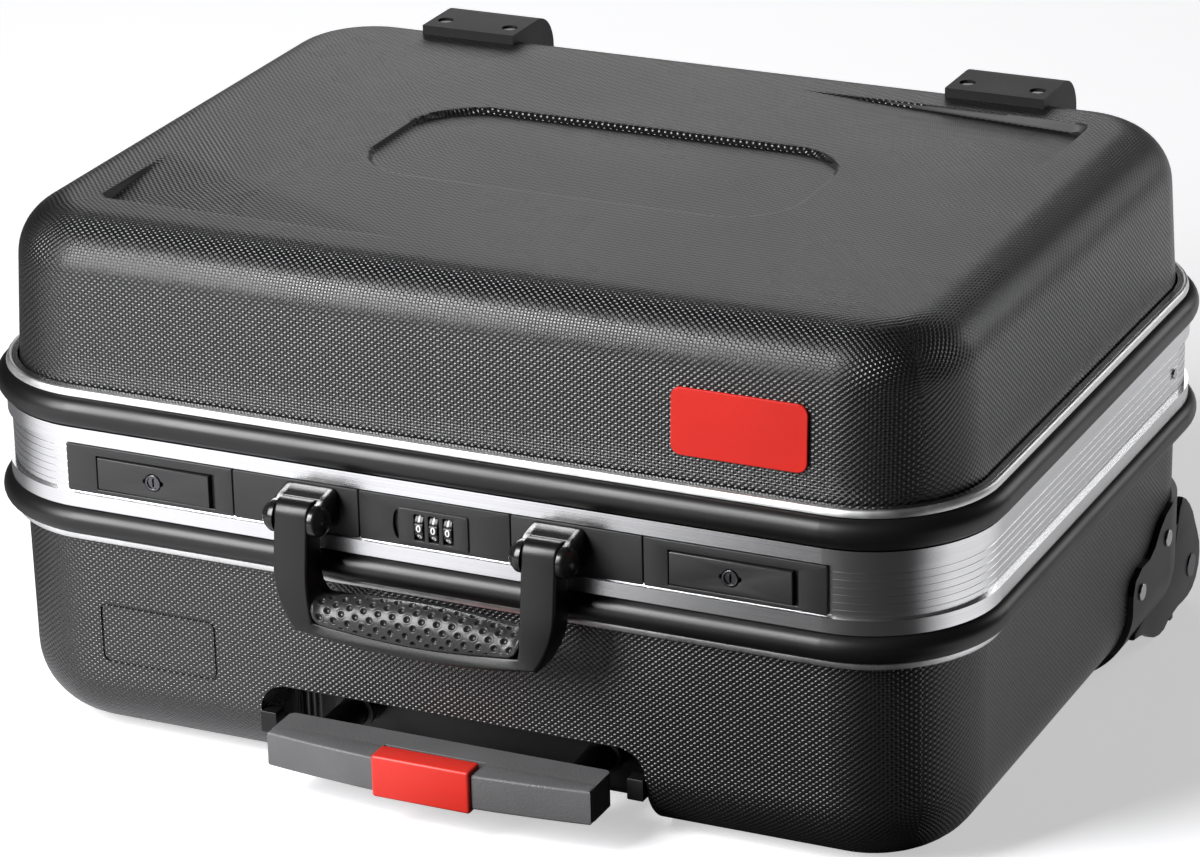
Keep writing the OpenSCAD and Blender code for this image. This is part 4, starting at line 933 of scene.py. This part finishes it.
# The web behind the pad, and how far it keeps from the bar's rim and top
WEB_BACK, WEB_FRONT, WEB_EDGE, WEB_DROP, WEB_TOP = -194.6, -197.9, 1.0, 0.8, 6.0
THIN = 0.02


def lean(z):
    """How far the arms draw in at height z: 1 at the bar's foot and 0 from LEAN_H up."""
    return max(0.0, 1 - (z - BAR_Z) / LEAN_H) ** 2


def bow_z(x):
    """Height of the bowed foot of the bar."""
    return BAR_Z + x * x / (2 * BOW_R)


def curve(a, b, c, n):
    """Points of a soft bend from a to c, drawn towards b, without the last."""
    pts = []
    for i in range(n):
        f = i / n
        pts.append(tuple((1 - f) ** 2 * p + 2 * f * (1 - f) * q + f * f * r for p, q, r in zip(a, b, c)))
    return pts


def band_edge(half, reach, up, bend, top):
    """Half of the handle's edge in (x, z): down the arm, round its bend and to the middle."""
    foot = BAR_Z + up + bend
    arm = []
    for i in range(ARM_STEPS):
        z = foot + (top - foot) * (1 - i / ARM_STEPS)
        arm.append((half - reach * lean(z), z))
    x = half - reach * lean(foot)
    slope = 2 * reach / LEAN_H * max(0.0, 1 - (foot - BAR_Z) / LEAN_H)
    end_x = x - slope * bend * 0.6 - bend * 1.2
    end = (end_x, bow_z(end_x) + up)
    corner = (x - slope * (foot - bow_z(x) - up), bow_z(x) + up)
    pts = arm + curve((x, foot), corner, end, BEND_STEPS)
    bar = (end_x * (1 - i / BAR_STEPS) for i in range(BAR_STEPS + 1))
    return pts + [(x, bow_z(x) + up) for x in bar]


def band_y(z):
    """Front and rear of the handle's band at height z."""
    if z > PIVOT_Z:
        half = math.sqrt(max(0.01, KNUCKLE_R ** 2 - (z - PIVOT_Z) ** 2))
        return PIVOT_Y - half, PIVOT_Y + half
    drop = PIVOT_Z - z
    front = PIVOT_Y - KNUCKLE_R - 3.7 * smooth(drop, -6.0, 38.0)
    back = PIVOT_Y + KNUCKLE_R - 1.4 * smooth(drop, 0.0, 16.0) + 2.6 * smooth(drop, 26.0, 42.0)
    low = smooth(BAR_Z + 5.0 - z, 0.0, 9.0)
    return front + 1.0 * low, back - 4.5 * low


def band_ring(width, lip):
    """Half a section of the band: (share of its width, sink of the front, sink of the rear)."""
    r = min(width / 2 - 0.05, ARM_EDGE + (RIM_EDGE - ARM_EDGE) * lip)
    ring = []
    for inner in (True, False):
        for k in range(7):
            a = math.pi / 2 * k / 6
            along, sink = r * (1 - math.cos(a)), r * (1 - math.sin(a))
            if not inner:
                along, sink = width - sink, along
            t = along / width
            slope = LIP_SLOPE * max(0.0, 1 - t / LIP_SHARE) + (0.0 if inner else sink) * 0.5
            ring.append((t, sink + (slope - sink) * lip, sink))
    return ring


def handle_part():
    """The handle's frame: a band of two arms and a bowed bar, with a web behind the pad."""
    outer = band_edge(ARM_OUT, LEAN_OUT, 0.0, BEND_OUT, PIVOT_Z)
    inner = band_edge(ARM_IN, LEAN_IN, RIM_H, BEND_IN, PIVOT_Z)
    crown = []
    for i in range(CROWN_STEPS, 0, -1):
        z = PIVOT_Z + KNUCKLE_R * math.sin(math.pi / 2 * i / (CROWN_STEPS + 0.2))
        crown.append(((ARM_OUT, z), (ARM_IN, z)))
    pairs = crown + list(zip(outer, inner))
    pairs += [((-a[0], a[1]), (-b[0], b[1])) for a, b in reversed(pairs[:-1])]
    sections = []
    for (ox, oz), (ix, iz) in pairs:
        width = math.hypot(ox - ix, oz - iz)
        front_side, rear_side = [], []
        for t, front_sink, rear_sink in band_ring(width, smooth(LIP_W - width, 0.0, LIP_BLEND)):
            x, z = ix + (ox - ix) * t, iz + (oz - iz) * t
            front, back = band_y(z)
            deepest = (back - front) / 2 - THIN
            front_side.append((x, front + min(front_sink, deepest), z))
            rear_side.append((x, back - min(rear_sink, deepest), z))
        sections.append(front_side + rear_side[::-1])
    web = [(x, z - WEB_DROP) for x, z in inner if z < BAR_Z + BAR_H - WEB_TOP]
    # Known fault, hidden behind the pad: the left half runs the wrong way, so the web overlaps
    outline = [(s * (ARM_IN + 0.5), BAR_Z + BAR_H - 5.0) for s in (1, -1)]
    outline += [(-x, z) for x, z in web[-2::-1]] + web[::-1]
    return join(loft(sections), slab(outline, edge_levels(WEB_FRONT, WEB_BACK, WEB_EDGE), "y"))


piece("handle_frame", handle_part(), "handle", "handle", ["carry_handle"], 50.0)


# ---------- number lock's plate ----------

LOCK_W, BLOCK_X0, BLOCK_X1, BLOCK_T, BLOCK_H = 77.0, -18.2, 17.6, 0.8, 17.6
BLOCK_BACK, BLOCK_CORNER, BLOCK_LAP = WEB_Y - 1.0, 1.2, 0.6
SLOT_W, SLOT_H, SLOT_CORNER, SCOOP_W, SCOOP_H, SCOOP_STEPS = 5.2, 13.0, 0.7, 3.0, 15.0, 16

block_z0, block_z1 = DIAL_Z - BLOCK_H / 2, DIAL_Z + BLOCK_H / 2
# The plate's opening, clockwise: the block's outline with a round finger scoop on its left
x0, x1, z0, z1 = BLOCK_X0 + BLOCK_LAP, BLOCK_X1 - BLOCK_LAP, block_z0 + BLOCK_LAP, block_z1 - BLOCK_LAP
opening = [(x1, z0), (x0, z0), (x0, DIAL_Z - SCOOP_H / 2)]
for i in range(SCOOP_STEPS - 1, 0, -1):
    a = math.pi * i / SCOOP_STEPS
    opening.append((BLOCK_X0 - SCOOP_W * math.sin(a), DIAL_Z + SCOOP_H / 2 * math.cos(a)))
opening += [(x0, DIAL_Z + SCOOP_H / 2), (x0, z1), (x1, z1)]
edge = box_outline(-LOCK_W / 2, LOCK_W / 2, PLATE_Z, PLATE_Z + PLATE_H, PLATE_CORNER)
plate = slab(edge, edge_levels(WEB_Y, PLATE_Y, LOCK_EDGE), "y", [opening])
z0, z1 = DIAL_Z - SLOT_H / 2, DIAL_Z + SLOT_H / 2
slots = [
    hole(x - SLOT_W / 2, x + SLOT_W / 2, z0, z1, SLOT_CORNER) for x in (-DIAL_PITCH, 0.0, DIAL_PITCH)
]
block = slab(
    box_outline(BLOCK_X0, BLOCK_X1, block_z0, block_z1, BLOCK_CORNER),
    edge_levels(BLOCK_BACK, PLATE_Y - BLOCK_T, PLATE_EDGE), "y", slots
)
face = join(plate, block)
piece("lock_face", face, "plate", "case_base", ["lock_plate"], 30.0)
# Painted shade: a dark sheet at the back of the finger scoop
outline = box_outline(BLOCK_X0 - 4, BLOCK_X0 + 2, block_z0, block_z1, 0.5)
scoop_shade = slab(outline, ((WEB_Y, 0), (WEB_Y - 0.5, 0)))
piece("lock_scoop_shade", scoop_shade, "dark", "case_base", (), 30.0)


# ---------- latches ----------

LEVER_X, LEVER_L, LEVER_H, LEVER_Z, LEVER_T = 147.6, 60.4, 16.0, 136.0, 2.2
LEVER_CORNER, LEVER_EDGE, LEVER_BACK, LEVER_RISE = 0.5, 0.55, WEB_Y + 0.3, 0.9
# The last two size the dark ring of painted shade in the gap round each lever
LEVER_GAP, GAP_END, GAP_TOP, BAY_CORNER, GAP_SHADE_LAP, GAP_SHADE_T = 0.35, 2.6, 0.9, 0.4, 0.6, 0.4
LATCH_X0, LATCH_W = 105.1, 89.0
# Key: its rim, well and slot, and the hole round it with its two notches
KEY_R, KEY_GAP, KEY_EDGE, KEY_RIM, KEY_LAP, KEY_PROUD, KEY_SUNK = 4.0, 0.25, 0.3, 1.1, 0.1, 0.35, 0.35
KEY_SLOT_W, KEY_SLOT_H, KEY_BACK, NOTCH, NOTCH_REACH = 1.0, 4.4, 6.0, 1.1, 0.2
KEY_FRONT = WEB_Y - LEVER_T - 0.5


def keyhole(cx, cz):
    """Round hole with a small notch on its left and right, clockwise."""
    loop, n = [], 40
    for i in range(n):
        a = -2 * math.pi * i / n
        out = KEY_R + KEY_GAP + (NOTCH if abs(math.sin(a)) < NOTCH_REACH else 0.0)
        loop.append((cx + out * math.cos(a), cz + out * math.sin(a)))
    return loop


def lever_part(cx, cz):
    """The lever's slab with its key's hole: its right end stands a little proud."""
    left = cx - LEVER_L / 2

    def seat(x, y, z):
        front = smooth(WEB_Y - y, 0.0, LEVER_T)
        return x, y - LEVER_RISE * front * (x - left) / LEVER_L, z

    outline = box_outline(
        left, cx + LEVER_L / 2, cz - LEVER_H / 2, cz + LEVER_H / 2, LEVER_CORNER
    )
    levels = edge_levels(LEVER_BACK, WEB_Y - LEVER_T, LEVER_EDGE)
    return slab(outline, levels, "y", [keyhole(cx, cz)], seat)


def key_part(cx, cz):
    """Key cylinder: a raised rim round a sunk face with a slot."""
    well = circle(cx, cz, KEY_R - KEY_RIM)[::-1]
    rim_levels = edge_levels(KEY_FRONT + KEY_BACK, KEY_FRONT - KEY_PROUD, KEY_EDGE)
    rim = slab(circle(cx, cz, KEY_R), rim_levels, "y", [well])
    w, h = KEY_SLOT_W / 2, KEY_SLOT_H / 2
    core = slab(
        circle(cx, cz, KEY_R - KEY_RIM + KEY_LAP),
        ((KEY_FRONT + KEY_BACK + 2.0, 0.0), (KEY_FRONT + KEY_SUNK, 0.0)),
        "y", [hole(cx - w, cx + w, cz - h, cz + h, 0.3)]
    )
    return join(rim, core)


for side, name in SIDES:
    cx, cz = side * LEVER_X, LEVER_Z + LEVER_H / 2
    x0 = LATCH_X0 if side > 0 else -LATCH_X0 - LATCH_W
    left, right = cx - LEVER_L / 2 - LEVER_GAP, cx + LEVER_L / 2
    bottom, top = LEVER_Z - LEVER_GAP, LEVER_Z + LEVER_H
    bay = (left, right + GAP_END, bottom, top + GAP_TOP)
    piece(
        f"latch_face_{name}", plate_part(x0, LATCH_W, [hole(*bay, BAY_CORNER)]), "plate",
        "case_base", [f"latch_plate_{name}"], 30.0
    )
    # Painted shade: a dark ring at the web fills the gap round the lever, with the bay's wider right end and
    # top
    inner = hole(left, right + LEVER_GAP, bottom, top + LEVER_GAP, 0.3)
    outline = box_outline(
        bay[0] - GAP_SHADE_LAP, bay[1] + GAP_SHADE_LAP, bay[2] - GAP_SHADE_LAP, bay[3] + GAP_SHADE_LAP, 0.5
    )
    lever_gap_shade = slab(outline, ((WEB_Y, 0.0), (WEB_Y - GAP_SHADE_T, 0.0)), "y", [inner])
    piece(f"latch_gap_shade_{name}", lever_gap_shade, "dark", "case_base", (), 30.0)
    piece(
        f"latch_pull_{name}", lever_part(cx, cz), "lever", f"lever_{name}",
        [f"latch_lever_{name}"], 30.0
    )
    piece(
        f"key_barrel_{name}", key_part(cx, cz), "key", f"key_{name}",
        [f"key_cylinder_{name}"], 30.0
    )


# ---------- trolley grip's front cover and the pocket's stops ----------

GRIP_HALF, GRIP_FRONT, GRIP_BOW, GRIP_Z, GRIP_H, COVER_BACK = 83.7, -205.1, 6.0, 25.0, 17.4, -196.6
COVER_IN, COVER_EDGE, COVER_STEPS = 25.75, 1.3, 24
STOP_LOOP = ((91.5, -182.0), (99.6, -182.0), (99.6, -174.0), (91.5, -174.0))
STOP_LEVELS = ((20.5, 1.2), (20.9, 0.3), (21.5, 0.0), (31.0, 0.0), (31.6, 0.3), (32.0, 1.2))

for side, name in SIDES:
    outline = []
    for i in range(COVER_STEPS + 1):
        x = COVER_IN + (GRIP_HALF - COVER_IN) * i / COVER_STEPS
        outline.append((side * x, GRIP_FRONT - GRIP_BOW * (1 - (x / GRIP_HALF) ** 2)))
    outline += [(side * GRIP_HALF, COVER_BACK), (side * COVER_IN, COVER_BACK)]
    levels = both_ends(GRIP_Z - GRIP_H / 2, GRIP_Z + GRIP_H / 2, COVER_EDGE)
    cover = slab(outline[::side], levels, "z")
    piece(f"grip_cover_{name}", cover, "grip", "trolley_inner", (), 35.0)
    stop = slab([(side * x, y) for x, y in STOP_LOOP][::side], STOP_LEVELS, "z")
    piece(f"pocket_stop_{name}", stop, "bracket", "case_base", (), 35.0)


# ---------- release button ----------

BUTTON_X, BUTTON_FRONT, BUTTON_BACK, BUTTON_H, BUTTON_R = 25.4, -212.6, -200.0, 21.3, 1.6
STEM_X, STEM_FRONT, STEM_BACK = 23.4, BUTTON_BACK - 2.0, -196.0
ROD_X, ROD_FRONT, ROD_BACK, ROD_H = 69.0, -196.8, -192.3, 8.0
BUTTON_EDGE, ROD_CORNER, ROD_EDGE = 1.4, 0.5, 0.3

cap = slab(
    box_outline(-BUTTON_X, BUTTON_X, BUTTON_FRONT, BUTTON_BACK, BUTTON_R, 5),
    both_ends(GRIP_Z - BUTTON_H / 2, GRIP_Z + BUTTON_H / 2, BUTTON_EDGE), "z"
)
levels = both_ends(GRIP_Z - ROD_H / 2, GRIP_Z + ROD_H / 2, ROD_EDGE, 2)
stem = slab(box_outline(-STEM_X, STEM_X, STEM_FRONT, STEM_BACK, ROD_CORNER), levels, "z")
rod = slab(box_outline(-ROD_X, ROD_X, ROD_FRONT, ROD_BACK, ROD_CORNER), levels, "z")
push = join(cap, stem, rod)
piece("release_push", push, "button", "button", ["release_button"], 35.0)


# ---------- bright lips above and below the beads ----------

LIP_LID, LIP_BASE = 181.2, 110.7
# The lip's section: how far it stands out from the frame's plan, and its height
LIP_SECTION = (
    (-3.0, 0.0), (-0.75, 0.0), (-0.7, 0.5), (-0.95, 1.5), (-1.35, 2.5), (-1.8, 3.1), (-2.3, 3.3), (-3.0, 3.3)
)


def hoop(section):
    """Closed ring round the case from its section in (distance out, height)."""
    verts, faces = [], []
    for d, z in section:
        verts += [(x, y, z) for x, y in plan(d)]
    count, rows = len(verts) // len(section), len(section)
    for k in range(rows):
        a, b = k * count, (k + 1) % rows * count
        for i in range(count):
            n = (i + 1) % count
            faces.append((a + i, a + n, b + n, b + i))
    return verts, faces


for name, z0, up, body in (("lid_lip", LIP_LID, 1, "lid"), ("base_lip", LIP_BASE, -1, "case_base")):
    lip = hoop([(d, z0 + up * z) for d, z in LIP_SECTION])
    piece(name, lip, "lip", body, (), 50.0)


# ---------- wheel brackets' outer cheeks ----------

CHEEK_X, CHEEK_T, CHEEK_EDGE = 241.3, 4.0, 1.1
# The cheek's outline in (y, z): its foot towards the front, its lobe, and its round rear
CHEEK_LOOP = [
    (86.0, 18.0), (84.8, 14.5), (94.0, 13.0), (102.0, 10.4), (109.0, 6.2), (117.0, 2.6),
    (124.0, 0.9), (131.0, 0.8), (138.0, 3.4), (144.0, 4.6), (150.0, 4.9), (161.0, 4.2),
    (168.0, 4.3), (175.0, 5.8), (181.0, 9.6), (185.0, 15.8), (186.0, 22.0), (185.2, 28.4),
    (181.6, 35.7), (177.2, 43.0), (173.6, 49.5), (168.6, 55.4), (163.0, 60.2), (158.0, 63.0),
    (152.0, 60.0), (147.0, 46.0), (141.0, 33.0), (128.0, 25.0), (106.0, 22.5)
]
for side, name in SIDES:
    cheek = mirror(slab(CHEEK_LOOP, both_ends(CHEEK_X, CHEEK_X + CHEEK_T, CHEEK_EDGE), "x"), side)
    piece(f"wheel_cheek_{name}", cheek, "bracket", "case_base", (), 35.0)


# ---------- edges of the carried-over parts ----------

for node, radius in (
    ("trolley_grip", 0.6), ("lid_foot_left", 1.6), ("lid_foot_right", 1.6),
    ("wheel_bracket_left", 0.9), ("wheel_bracket_right", 0.9), ("badge", 0.5),
    ("frame_rivets", 0.4), ("bracket_rivets", 0.4), ("foot_screws", 0.4), ("wheel_axles", 0.5),
):
    dress(node, radius)
